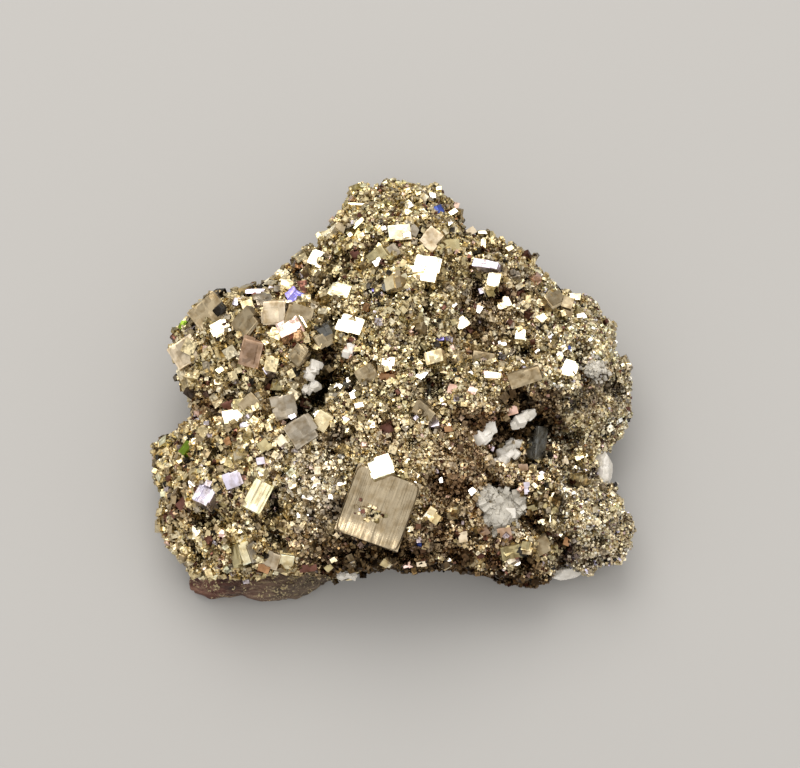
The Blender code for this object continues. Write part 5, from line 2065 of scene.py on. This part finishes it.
@dataclass
class LargeCrystals:
    """The crystals that can be told apart from a step away.

    Attributes:
        form: The form that they are set in.
        seed: Chooses the random draws.
        trim: Share of a crystal's width that its own block has; growths fill the rest.
        growths: How many smaller blocks grow out of each crystal.
        growth_share: Least and greatest edge of a growth, as a share of the crystal's.
        proud: How far a growth stands out in plan, as a share of the crystal's edge.
        step: How far a growth's top lies above or below the crystal's, in mm.
        askew: Turn of the growths against the crystal, in degrees.
        parts: How many blocks make up each of the lesser crystals.
        plated: Share of the crystals that have a plate on a face.
    """

    form: MassForm
    seed: int = 5
    trim: float = 0.88
    growths: int = 3
    growth_share: tuple[float, float] = (0.4, 0.9)
    proud: tuple[float, float] = (-0.08, 0.13)
    step: float = 0.12
    askew: float = 2.5
    parts: int = 7
    plated: float = 0.6

    def blocks(self) -> Blocks:
        """Blocks of the crystals that have a place of their own."""
        blocks = placed(self.form, CRYSTALS)
        return replace(blocks, edges=blocks.edges * [self.trim, self.trim, 1.0])

    def strewn(self) -> Blocks:
        """Whole blocks of the lesser crystals.

        Returns:
            The blocks, one for each crystal.
        """
        middles, edges, turns = Strewn(self.form).rows()
        rng = np.random.default_rng(self.seed)
        tint, dull = PALETTE.draw(rng, len(middles)), np.full(len(middles), 0.3)
        return Blocks(middles, edges, turns, tint, dull)

    def clusters(self, whole: Blocks) -> Soup:
        """The lesser crystals, each as a cluster of smaller blocks that fill its form.

        Args:
            whole: The lesser crystals as whole blocks.

        Returns:
            Their faces.
        """
        rng = np.random.default_rng(self.seed + 2)
        held = (whole.middles, whole.edges, whole.turns)
        middles, full, turns = (np.repeat(values, self.parts, axis=0) for values in held)
        count = len(middles)
        edges = full * rng.uniform(0.3, 0.62, (count, 3))
        shift = (full - edges) / 2.0 * rng.uniform(-1.0, 1.0, (count, 3))
        middles = middles + np.einsum("nij,nj->ni", turns, shift)
        tint = PALETTE.draw(rng, count)
        dull = rng.uniform(0.12, 0.42, count)
        turns = turns @ wobble(rng, count, 9.0)
        return BlockShape().soup(middles, edges, turns, tint, dull, np.zeros(count))

    def growth_soup(self, blocks: Blocks, rng: np.random.Generator) -> Soup:
        """Smaller blocks grown out of each crystal's sides and top, all but parallel to it.

        Args:
            blocks: The crystals.
            rng: Generator of the draws.

        Returns:
            Their faces.
        """
        soups = []
        count = len(blocks.middles)
        for _ in range(self.growths):
            edges = blocks.edges * rng.uniform(*self.growth_share, (count, 3))
            side = rng.choice([-1.0, 1.0], (count, 3))
            side[:, 2] = 1.0
            out = rng.uniform(*self.proud, (count, 3)) * blocks.edges
            out[:, 2] = rng.uniform(-self.step, self.step, count)
            shift = side * ((blocks.edges - edges) / 2.0 + out)
            middles = blocks.middles + np.einsum("nij,nj->ni", blocks.turns, shift)
            turns = blocks.turns @ wobble(rng, count, self.askew)
            tint = np.clip(blocks.tint * rng.uniform(0.85, 1.12, (count, 1)), 0.0, LIGHTEST)
            dull = np.clip(blocks.dull + rng.uniform(-0.06, 0.1, count), 0.05, 0.6)
            streak = rng.uniform(0.0, 1.0, count)
            soups.append(BlockShape(3).soup(middles, edges, turns, tint, dull, streak, dent=0.04))
        return Soup.joined(soups)

    def plates(self, blocks: Blocks, rng: np.random.Generator) -> Soup:
        """Raised growth plates on the crystals' faces: thin blocks turned almost as they are.

        Args:
            blocks: The crystals.
            rng: Generator of the draws.

        Returns:
            Their faces.
        """
        soups = []
        for axis, sign in product(range(3), (1.0, -1.0)):
            chosen = rng.random(len(blocks.middles)) < self.plated
            edges, turns = blocks.edges[chosen], blocks.turns[chosen]
            count = len(edges)
            size = edges * rng.uniform(0.3, 0.75, (count, 3))
            size[:, axis] = rng.uniform(0.1, 0.24, count)
            shift = (edges - size) / 2.0 * rng.uniform(-1.0, 1.0, (count, 3))
            shift[:, axis] = sign * edges[:, axis] / 2.0
            middles = blocks.middles[chosen] + np.einsum("nij,nj->ni", turns, shift)
            turns = turns @ wobble(rng, count, 1.2)
            tint = np.clip(blocks.tint[chosen] * rng.uniform(0.8, 1.15, (count, 1)), 0.0, LIGHTEST)
            streak = np.full(count, 0.6)
            soups.append(BlockShape().soup(middles, size, turns, tint, blocks.dull[chosen], streak))
        return Soup.joined(soups)

    def piece(self, blocks: Blocks, whole: Blocks, material: Material) -> Object:
        """Makes the crystals with their smaller growths and plates, and the clusters.

        Args:
            blocks: The crystals with a place of their own.
            whole: The lesser crystals.
            material: Their material.

        Returns:
            The new object.
        """
        rng = np.random.default_rng(self.seed + 1)
        streak = rng.uniform(0.2, 1.0, len(blocks.middles))
        # The faces are made lighter along their edges: a painted highlight
        body = blocks.soup(BlockShape(7), streak, dent=0.08, rim=1.3)
        parts = [body, self.growth_soup(blocks, rng), self.plates(blocks, rng), self.clusters(whole)]
        return Soup.joined(parts).piece("crystals_large", "pyrite", material)


@dataclass
class SmallCrystals:
    """The small crystals that stand out by their shine or their tarnish."""

    form: MassForm
    view: Viewpoint
    skin: Skin
    seed: int = 19
    shrink: float = 0.84
    clearance: float = 0.62
    perched: float = 1.35
    deepest: float = 2.0

    def blocks(self) -> Blocks:
        """Blocks of the accents, their tops clear of the ground where they stand.

        Returns:
            The blocks, one for each accent.
        """
        rng = np.random.default_rng(self.seed)
        pixels = np.array([(a.column, a.row) for a in ACCENTS])
        rise = np.array([a.rise for a in ACCENTS])
        seen = self.view.on_skin(self.skin, pixels, self.clearance)
        above = self.view.on_crown(self.form, pixels, rise)
        tops = np.where(rise[:, None] > self.perched, above, seen)
        lies = np.array([(a.twist, *a.facing.value) for a in ACCENTS], float)
        turns = turned(*lies.T) @ wobble(rng, len(ACCENTS), 2.0)
        wide = self.shrink * np.array([(a.along, a.across) for a in ACCENTS])
        edges = np.column_stack([wide, np.minimum(wide.max(axis=1), self.deepest)])
        dull = [0.1 if a.facing is GLINT else 0.24 for a in ACCENTS]
        return set_in(tops, turns, edges, [a.tarnish for a in ACCENTS], dull)

    def piece(self, blocks: Blocks, material: Material) -> Object:
        """Makes the accents, each with one smaller growth that breaks its outline.

        Args:
            blocks: The accents.
            material: Their material.

        Returns:
            The new object.
        """
        rng = np.random.default_rng(self.seed + 1)
        plain = np.zeros(len(blocks.middles))
        body = blocks.soup(BlockShape(3), plain, dent=0.04)
        grower = LargeCrystals(self.form, growths=1, growth_share=(0.45, 0.85), proud=(0.0, 0.2), askew=8.0)
        soup = Soup.joined([body, grower.growth_soup(blocks, rng)])
        return soup.piece("crystals_small", "pyrite", material)


@dataclass
class StriatedCube:
    """A cube whose top face is streaked with growth steps.

    Attributes:
        name: Name of the piece.
        form: The form that it is set in.
        crystal: Its place, edges and turn.
        lines: Cell in mm and height in mm of the noises whose steps are the streaks.
        upturn: Rise in mm of the face towards its near end.
        nest: Place on the face and reach in mm of a nest of small grains, if any.
        grains: How many grains the nest has.
        across: Points across the streaks.
        along: Points along them.
        seed: Chooses the streaks.
    """

    name: str
    form: MassForm
    crystal: Crystal
    lines: tuple[tuple[float, float], ...] = ((0.42, 0.05), (0.17, 0.035), (2.2, 0.14))
    upturn: float = 0.75
    nest: tuple[float, float, float, float] = (-0.9, 0.8, 1.1, 1.6)
    grains: int = 70
    across: int = 260
    along: int = 46
    seed: int = 61

    def blocks(self) -> Blocks:
        """The cube's own block."""
        return placed(self.form, [self.crystal])

    def surface(self, half: np.ndarray) -> np.ndarray:
        """Points of the top face and its skirt, in the cube's own directions.

        Steps run along the first edge: the height adds noises of the place across
        them, rounded to a few levels. The near end turns up, and the face's outline
        is let down by a power of its distance.

        Args:
            half: Half edges of the cube in mm.

        Returns:
            Points by column along and row across.
        """
        u = np.linspace(-1.0, 1.0, self.along)[:, None]
        v = np.linspace(-1.0, 1.0, self.across)[None, :]
        u, v = np.broadcast_arrays(u, v)
        x, y = u * half[0], v * half[1]
        z = np.full_like(x, half[2] + 0.05)
        for k, (cell, height) in enumerate(self.lines):
            place = np.stack([x * 0.06, y, np.zeros_like(x)], axis=-1)
            z = z + height * np.round(rolling(place, cell, self.seed + k) * 4.0) / 4.0
        z = z + self.upturn * ease(0.35, 1.0, -u) ** 2 * (0.3 + 0.7 * ease(-0.5, 0.3, v))
        edge = (np.abs(u) ** 9 + np.abs(v) ** 9) ** (1 / 9)
        z = z - 0.5 * ease(0.94, 1.0, edge) ** 2 - self.upturn * ease(0.96, 1.0, -u)
        return np.stack([x, y, z], axis=-1)

    def streaked_face(self, blocks: Blocks) -> Soup:
        """The streaked face as a soup, its streaks a little lighter or darker by turns, and lighter towards
        its near end as a painted highlight.

        Args:
            blocks: The cube as a block.

        Returns:
            The face's own faces.
        """
        local = self.surface(blocks.edges[0] / 2.0)
        points = local.reshape(-1, 3) @ blocks.turns[0].T + blocks.middles[0]
        i, j = np.meshgrid(np.arange(self.along - 1), np.arange(self.across - 1), indexing="ij")
        start = (i * self.across + j).ravel()
        quads = np.stack([start, start + self.across, start + self.across + 1, start + 1], axis=-1)
        corners = local.reshape(-1, 3)[quads]
        inside = corners[..., :2] / blocks.edges[0][:2] + 0.5
        middle = corners.mean(axis=1)
        lined = np.stack([middle[:, 0] * 0.05, middle[:, 1], 0.0 * middle[:, 0]], axis=-1)
        fine, slow = rolling(lined, 0.13, self.seed + 9), rolling(middle, 1.6, self.seed + 8)
        shade = 1.0 + 0.18 * fine + 0.12 * slow
        # Painted highlight: lighter streaks towards the near end of the face
        near = ease(0.2, 0.9, -middle[:, 0] / blocks.edges[0, 0] * 2.0)
        shade = shade + near * (0.15 + 0.9 * ease(0.2, 0.7, rolling(lined, 0.22, self.seed + 7)))
        count = len(quads)
        return Soup(
            points,
            quads,
            np.clip(blocks.tint * shade[:, None], 0.0, LIGHTEST),
            np.full(count, blocks.dull[0]),
            np.full(count, 1.0),
            np.zeros(count, int),
            inside,
            corners[..., :2],
        )

    def nest_soup(self, blocks: Blocks) -> Soup:
        """Small grains that sit together on the face.

        Args:
            blocks: The cube as a block.

        Returns:
            Their faces.
        """
        rng = np.random.default_rng(self.seed + 5)
        x, y, reach_x, reach_y = self.nest
        spread = rng.standard_normal((self.grains, 2)) * 0.5 * np.array([reach_x, reach_y])
        top = blocks.edges[0, 2] / 2.0
        local = np.column_stack([x + spread[:, 0], y + spread[:, 1], np.full(self.grains, top + 0.15)])
        middles = local @ blocks.turns[0].T + blocks.middles[0]
        edges = rng.uniform(0.22, 0.6, (self.grains, 1)) * rng.uniform(0.7, 1.0, (self.grains, 3))
        ways = unit(blocks.turns[0][:, 2] + 0.4 * rng.standard_normal((self.grains, 3)))
        turns = facing(ways, rng.uniform(0.0, math.pi, self.grains))
        tint = PALETTE.draw(rng, self.grains)
        dull = rng.uniform(0.1, 0.4, self.grains)
        return BlockShape().soup(middles, edges, turns, tint, dull, np.zeros(self.grains))

    def piece(self, material: Material) -> Object:
        """Makes the cube: a rounded block with the streaked face laid over its top.

        Args:
            material: Material of the streaked faces.

        Returns:
            The new object.
        """
        blocks = self.blocks()
        body = blocks.soup(BlockShape(8, sharpness=9.0), np.array([0.8]), dent=0.06)
        soups = [body, self.streaked_face(blocks)]
        if self.grains:
            soups.append(self.nest_soup(blocks))
        return Soup.joined(soups).piece(self.name, "pyrite", material, smooth=False)


@dataclass(frozen=True)
class Palette:
    """Tints of the small crystals and how common each is."""

    shares: tuple[tuple[Tarnish, float], ...]

    def draw(self, rng: np.random.Generator, count: int) -> np.ndarray:
        """Draws tints, each a little lighter or darker than its tarnish.

        Args:
            rng: Generator of the draws.
            count: How many tints.

        Returns:
            Colours, a row for each.
        """
        tints = np.array([tarnish.value for tarnish, _ in self.shares])
        odds = np.array([share for _, share in self.shares])
        picked = rng.choice(len(tints), size=count, p=odds / odds.sum())
        return np.clip(tints[picked] * rng.uniform(0.75, 1.2, (count, 1)), 0.0, 0.95)


PALETTE = Palette(
    (
        (BRASS, 0.36),
        (PALE, 0.14),
        (TAN, 0.17),
        (OLIVE, 0.09),
        (GREY, 0.06),
        (GOLD, 0.06),
        (RED_BROWN, 0.035),
        (SOOT, 0.03),
        (PINK, 0.015),
        (LILAC, 0.012),
        (ORANGE, 0.003),
    )
)


@dataclass(frozen=True)
class Zone:
    """A part of the crust with grains of its own sizes.

    Attributes:
        name: Name of the zone's piece.
        x: Its middle along X in mm.
        y: Its middle along Y in mm.
        reach: How far it counts against its neighbours, in mm.
        fine: Smallest and largest edge of its fine grains in mm.
        fine_count: How many fine grains.
        coarse: Smallest and largest edge of its coarse grains in mm.
        coarse_count: How many coarse grains.
        spread: How far its grains lean, as a share of their normal.
        dull: Least and greatest roughness.
        tone: Share of red, green and blue of its tints.
    """

    name: str
    x: float
    y: float
    reach: float
    fine: tuple[float, float]
    fine_count: int
    coarse: tuple[float, float]
    coarse_count: int
    spread: float = 0.5
    dull: tuple[float, float] = (0.06, 0.42)
    tone: tuple[float, float, float] = (1.0, 1.0, 1.0)


ZONES = [Zone(*row) for row in (
    ("druse_upper_lobe", 1.0, 21.0, 12.0, (0.25, 0.7), 7600, (0.7, 1.5), 420,
     0.42, (0.1, 0.45), (1.14, 1.12, 1.0)),
    ("druse_left_shoulder", -19.0, 4.0, 13.0, (0.3, 0.9), 5200, (0.9, 2.2), 620,
     0.5, (0.1, 0.42), (1.04, 1.02, 0.96)),
    ("druse_middle", 0.0, 2.0, 12.0, (0.25, 0.65), 6200, (0.6, 1.3), 240,
     0.5, (0.06, 0.42), (1.05, 1.05, 1.0)),
    ("druse_bowl", 14.0, 4.0, 9.0, (0.28, 0.7), 4500, (0.7, 1.4), 240,
     0.55),
    ("druse_right_bulge", 27.0, 2.0, 11.0, (0.25, 0.55), 8000, (0.6, 1.2), 120,
     0.4, (0.12, 0.5), (1.3, 1.34, 1.42)),
    ("druse_lower_left", -24.0, -16.0, 13.0, (0.32, 0.95), 6200, (0.8, 1.6), 420,
     0.42, (0.1, 0.42), (1.14, 1.1, 1.0)),
    ("druse_front", -3.0, -17.0, 11.0, (0.26, 0.62), 6800, (0.7, 1.2), 160,
     0.52, (0.06, 0.42), (1.12, 1.1, 1.07)),
    ("druse_terrace", 14.0, -17.0, 10.0, (0.26, 0.62), 7400, (0.7, 1.2), 190,
     0.6, (0.05, 0.4), (1.1, 1.04, 1.02)),
    ("druse_right_lobe", 28.0, -20.0, 8.0, (0.25, 0.55), 6400, (0.6, 1.0), 70,
     0.38, (0.16, 0.5), (1.22, 1.25, 1.38)),
)]


@dataclass
class Druse:
    """The crust of small crystals that covers the mass."""

    skin: Skin
    large: Blocks
    view: Viewpoint
    seed: int = 77
    # Painted shade: how much of its tint a grain loses in a hollow, and in red, green and blue on the front
    # flank
    hollow_shade: float = 0.62
    front_flank_shade: tuple[float, float, float] = (0.62, 0.70, 0.76)
    # Painted shade of the grains' faces: the top lightest, the sides darker, the underside darkest
    painted_face_shades: tuple[float, ...] = (0.9, 0.75, 0.92, 0.7, 1.0, 0.3)
    shade_depth: np.ndarray = field(init=False)

    def __post_init__(self) -> None:
        """Keeps the depth of the painted shade of each cell of the skin."""
        self.shade_depth = self.skin.painted_shade_depth()[:-1].ravel()

    def shown(self) -> np.ndarray:
        """1 on the skin's points that carry grains, else 0.

        Returns:
            The mask, in the grid's order.
        """
        level = self.skin.levels[:, None]
        under = (level > 1.4) & HostRock().covers(self.skin.grid)
        return ((level < 1.93) & ~under).astype(float)

    def zone_weights(self) -> list[np.ndarray]:
        """For each zone, 1 on the skin's points nearest to it by reach, else 0.

        Returns:
            A mask for each zone, in the grid's order.
        """
        x, y = self.skin.grid[..., 0], self.skin.grid[..., 1]
        far = np.stack([np.hypot(x - z.x, y - z.y) / z.reach for z in ZONES])
        nearest = far.argmin(axis=0)
        return [(nearest == i) * self.shown() for i in range(len(ZONES))]

    def stained_and_shaded(self, places: np.ndarray, tint: np.ndarray) -> np.ndarray:
        """The tints, each drawn to the colour of the stains and painted shadows that it lies in."""
        for tinted_spot in STAINS_AND_SHADE:
            middle = self.view.on_skin(self.skin, np.array([[tinted_spot.column, tinted_spot.row]]), 0.0)[0]
            far = ((places - middle) ** 2).sum(axis=-1)
            share = (tinted_spot.amount * np.exp(-far / tinted_spot.radius**2))[:, None]
            tint = tint * (1.0 - share) + np.array(tinted_spot.colour) * share
        return tint

    def soup(
        self, rng: np.random.Generator, drawn: Drawn, edge: tuple[float, float], skew: float,
        sink: tuple[float, float], zone: Zone,
    ) -> Soup:
        """A soup of grains, each a block half sunk in the skin and leaning at random, their tints darkened
        by painted shade in hollows and on the front flank.

        Args:
            rng: The generator to draw from.
            drawn: Places, normals and cells of the skin.
            edge: Smallest and largest edge in mm.
            skew: Power that makes the large grains rare.
            sink: Least and greatest height of a grain's middle, as a share of its edge.
            zone: The zone whose spread, roughness and tone the grains have.

        Returns:
            The soup.
        """
        places, normals, cells = drawn
        count = len(places)
        size = edge[0] + (edge[1] - edge[0]) * rng.random((count, 1)) ** skew
        edges = size * rng.uniform(0.55, 1.0, (count, 3))
        ways = unit(normals + zone.spread * rng.standard_normal((count, 3)))
        turns = facing(ways, rng.uniform(0.0, 2 * math.pi, count))
        middles = places + normals * size * rng.uniform(*sink, (count, 1))
        middles[:, 2] = np.maximum(middles[:, 2], size[:, 0] * 0.9)
        # Painted shade in hollows and on the front flank
        shade_share = self.hollow_shade * ease(0.25, 1.1, self.shade_depth[cells])
        flank = front_flank(normals, places[:, 0], (0.3, 0.65))
        flank_shaded = 1.0 - flank[:, None] * np.array(self.front_flank_shade)
        tint = PALETTE.draw(rng, count) * np.array(zone.tone) * (1.0 - shade_share)[:, None] * flank_shaded
        tint = np.clip(self.stained_and_shaded(places, tint), 0.0, LIGHTEST)
        dull = rng.uniform(*zone.dull, count)
        shape, plain = BlockShape(soled=False), np.zeros(count)
        return shape.soup(middles, edges, turns, tint, dull, plain, painted_face_shades=self.painted_face_shades)

    def clear(self, drawn: Drawn) -> Drawn:
        """The drawn places that lie outside the large crystals."""
        kept = ~self.large.hold(drawn[0], 0.05)
        return tuple(values[kept] for values in drawn)

    def pieces(self, material: Material) -> None:
        """Makes one piece for each zone."""
        for index, (zone, weight) in enumerate(zip(ZONES, self.zone_weights())):
            rng = np.random.default_rng(self.seed + index)
            fine = self.clear(self.skin.draw(rng, zone.fine_count, weight))
            coarse = self.clear(self.skin.draw(rng, zone.coarse_count, weight))
            calmer = replace(zone, spread=0.8 * zone.spread)
            soups = [
                self.soup(rng, fine, zone.fine, 1.8, (-0.2, 0.35), zone),
                self.soup(rng, coarse, zone.coarse, 1.4, (-0.1, 0.32), calmer),
            ]
            Soup.joined(soups).piece(zone.name, "pyrite", material, smooth=False)

    def collars(self, material: Material, count: int = 30000, reach: float = 0.5) -> None:
        """Makes the grains that crowd round the foot of each large crystal.

        Args:
            material: Their material.
            count: How many places of the skin are tried.
            reach: How far from a crystal they may stand, in mm.
        """
        rng = np.random.default_rng(self.seed + 50)
        places, normals, cells = self.skin.draw(rng, count, self.shown())
        beside = self.large.hold(places, -reach) & ~self.large.hold(places, 0.1)
        drawn = (places[beside], normals[beside], cells[beside])
        soup = self.soup(rng, drawn, (0.35, 1.0), 1.3, (0.0, 0.9), ZONES[1])
        soup.piece("druse_collars", "pyrite", material, smooth=False)


@dataclass(frozen=True)
class SoftBox:
    """A lamp with a square face, aimed at the specimen; lengths in mm."""

    name: str
    compass: float
    elevation: float
    distance: float
    size: float
    power: float
    colour: tuple[float, float, float] = (1.0, 0.98, 0.95)

    def way(self) -> np.ndarray:
        """Direction from the specimen to the lamp.

        Returns:
            The direction, of length 1.
        """
        turn, tip = math.radians(self.compass), math.radians(self.elevation)
        out = math.cos(tip)
        return np.array([math.cos(turn) * out, math.sin(turn) * out, math.sin(tip)])

    def lamp(self) -> Object:
        """Makes the lamp.

        Returns:
            The new object.
        """
        data = bpy.data.lights.new(self.name, "AREA")
        data.shape = "SQUARE"
        data.size = self.size * MM
        data.energy = self.power
        data.color = self.colour
        lamp = bpy.data.objects.new(self.name, data)
        bpy.context.scene.collection.objects.link(lamp)
        lamp.location = Vector(self.way() * self.distance * MM)
        lamp.rotation_euler = (-lamp.location).to_track_quat("-Z", "Y").to_euler()
        return lamp


LAMPS = (
    SoftBox("key_light", 105.0, 55.0, 900.0, 700.0, 5.0),
    SoftBox("ceiling", 270.0, 86.0, 1300.0, 2200.0, 9.0),
)


@dataclass
class Studio:
    """A pale floor, soft lights and the camera."""

    view: Viewpoint
    lamps: tuple[SoftBox, ...] = LAMPS
    floor_reach: float = 3000.0
    floor_drop: float = 0.02
    floor_colour: tuple[float, float, float] = (0.37, 0.36, 0.345)
    world_strength: float = 0.94

    def floor(self) -> Object:
        """The floor: one large level face with a plain matt finish.

        Returns:
            The new object.
        """
        corners = self.floor_reach * np.array([(-1, -1, 0), (1, -1, 0), (1, 1, 0), (-1, 1, 0)])
        points = corners - BOX_SHIFT - [0.0, 0.0, self.floor_drop]
        mesh = mesh_of("floor", points, np.array([[0, 1, 2, 3]]))
        material, _, shader = new_material("floor")
        shader.inputs["Base Color"].default_value = (*self.floor_colour, 1.0)
        shader.inputs["Roughness"].default_value = 0.9
        shader.inputs["Specular IOR Level"].default_value = 0.2
        obj = bpy.data.objects.new("floor", mesh)
        bpy.context.scene.collection.objects.link(obj)
        mesh.materials.append(material)
        obj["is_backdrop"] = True
        return obj

    def build(self) -> None:
        """Makes the floor, the lamps, the world and the camera."""
        self.floor()
        for lamp in self.lamps:
            lamp.lamp()
        world = bpy.data.worlds.new("studio")
        world.use_nodes = True
        back = world.node_tree.nodes["Background"]
        back.inputs["Color"].default_value = (1.0, 0.985, 0.97, 1.0)
        back.inputs["Strength"].default_value = self.world_strength
        bpy.context.scene.world = world
        bpy.context.scene.view_settings.view_transform = "Standard"
        self.view.camera()


def write_sizes() -> None:
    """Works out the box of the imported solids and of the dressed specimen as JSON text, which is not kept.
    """
    boxes = {"cad": CAD_BOX, "visual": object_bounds()}
    json.dumps({k: [list(c) for c in box] for k, box in boxes.items()})


def main() -> None:
    """Builds every piece in order and reports it."""
    logging.basicConfig(level=logging.INFO, format="%(message)s")
    effects = Effects()
    faces = CrystalFinish(
        mosaic=0.22, mosaic_scale=0.85, grown=True, tones=(0.8, 1.12), film=0.7
    ).material(effects)
    streaked = CrystalFinish("streaked_faces").material(effects)
    form = MassForm()
    view = Viewpoint()
    spots = view.on_skin(Skin(form), np.array([(h.column, h.row) for h in HOLLOWS]), 0.0)
    skin = Skin(form, hollows=np.column_stack([spots, [(h.radius, h.depth) for h in HOLLOWS]]))
    skin.piece(GroundmassFinish().material())
    crystals = LargeCrystals(form)
    blocks, whole = crystals.blocks(), crystals.strewn()
    crystals.piece(blocks, whole, faces)
    small = SmallCrystals(form, view, skin)
    accents = small.blocks()
    small.piece(accents, faces)
    cubes = [
        StriatedCube("striated_cube", form, STRIATED_CUBE),
        StriatedCube(
            "striated_cube_small", form, MEDIUM_STRIATED_CUBE, lines=((0.7, 0.12), (0.3, 0.08)),
            upturn=0.1, grains=0, across=80, along=24, seed=67,
        ),
    ]
    for cube in cubes:
        cube.piece(streaked)
    inner = replace(whole, edges=whole.edges * 0.7)
    druse = Druse(skin, merged([blocks, accents, inner, *(cube.blocks() for cube in cubes)]), view)
    grains = CrystalFinish("druse_faces", mosaic=0.5, waves=0.2).material(effects)
    druse.pieces(grains)
    druse.collars(grains)
    HostRock().piece(RockFinish().material())
    quartz = QuartzFinish().material()
    specked = QuartzFinish("quartz_specked", (0.74, 0.69, 0.59), (0.46, 0.42, 0.35), 0.35, 0.42).material()
    QuartzPieces(form, view, skin, quartz, specked).pieces()
    Studio(view).build()
    write_sizes()


if __name__ == "__main__":
    main()
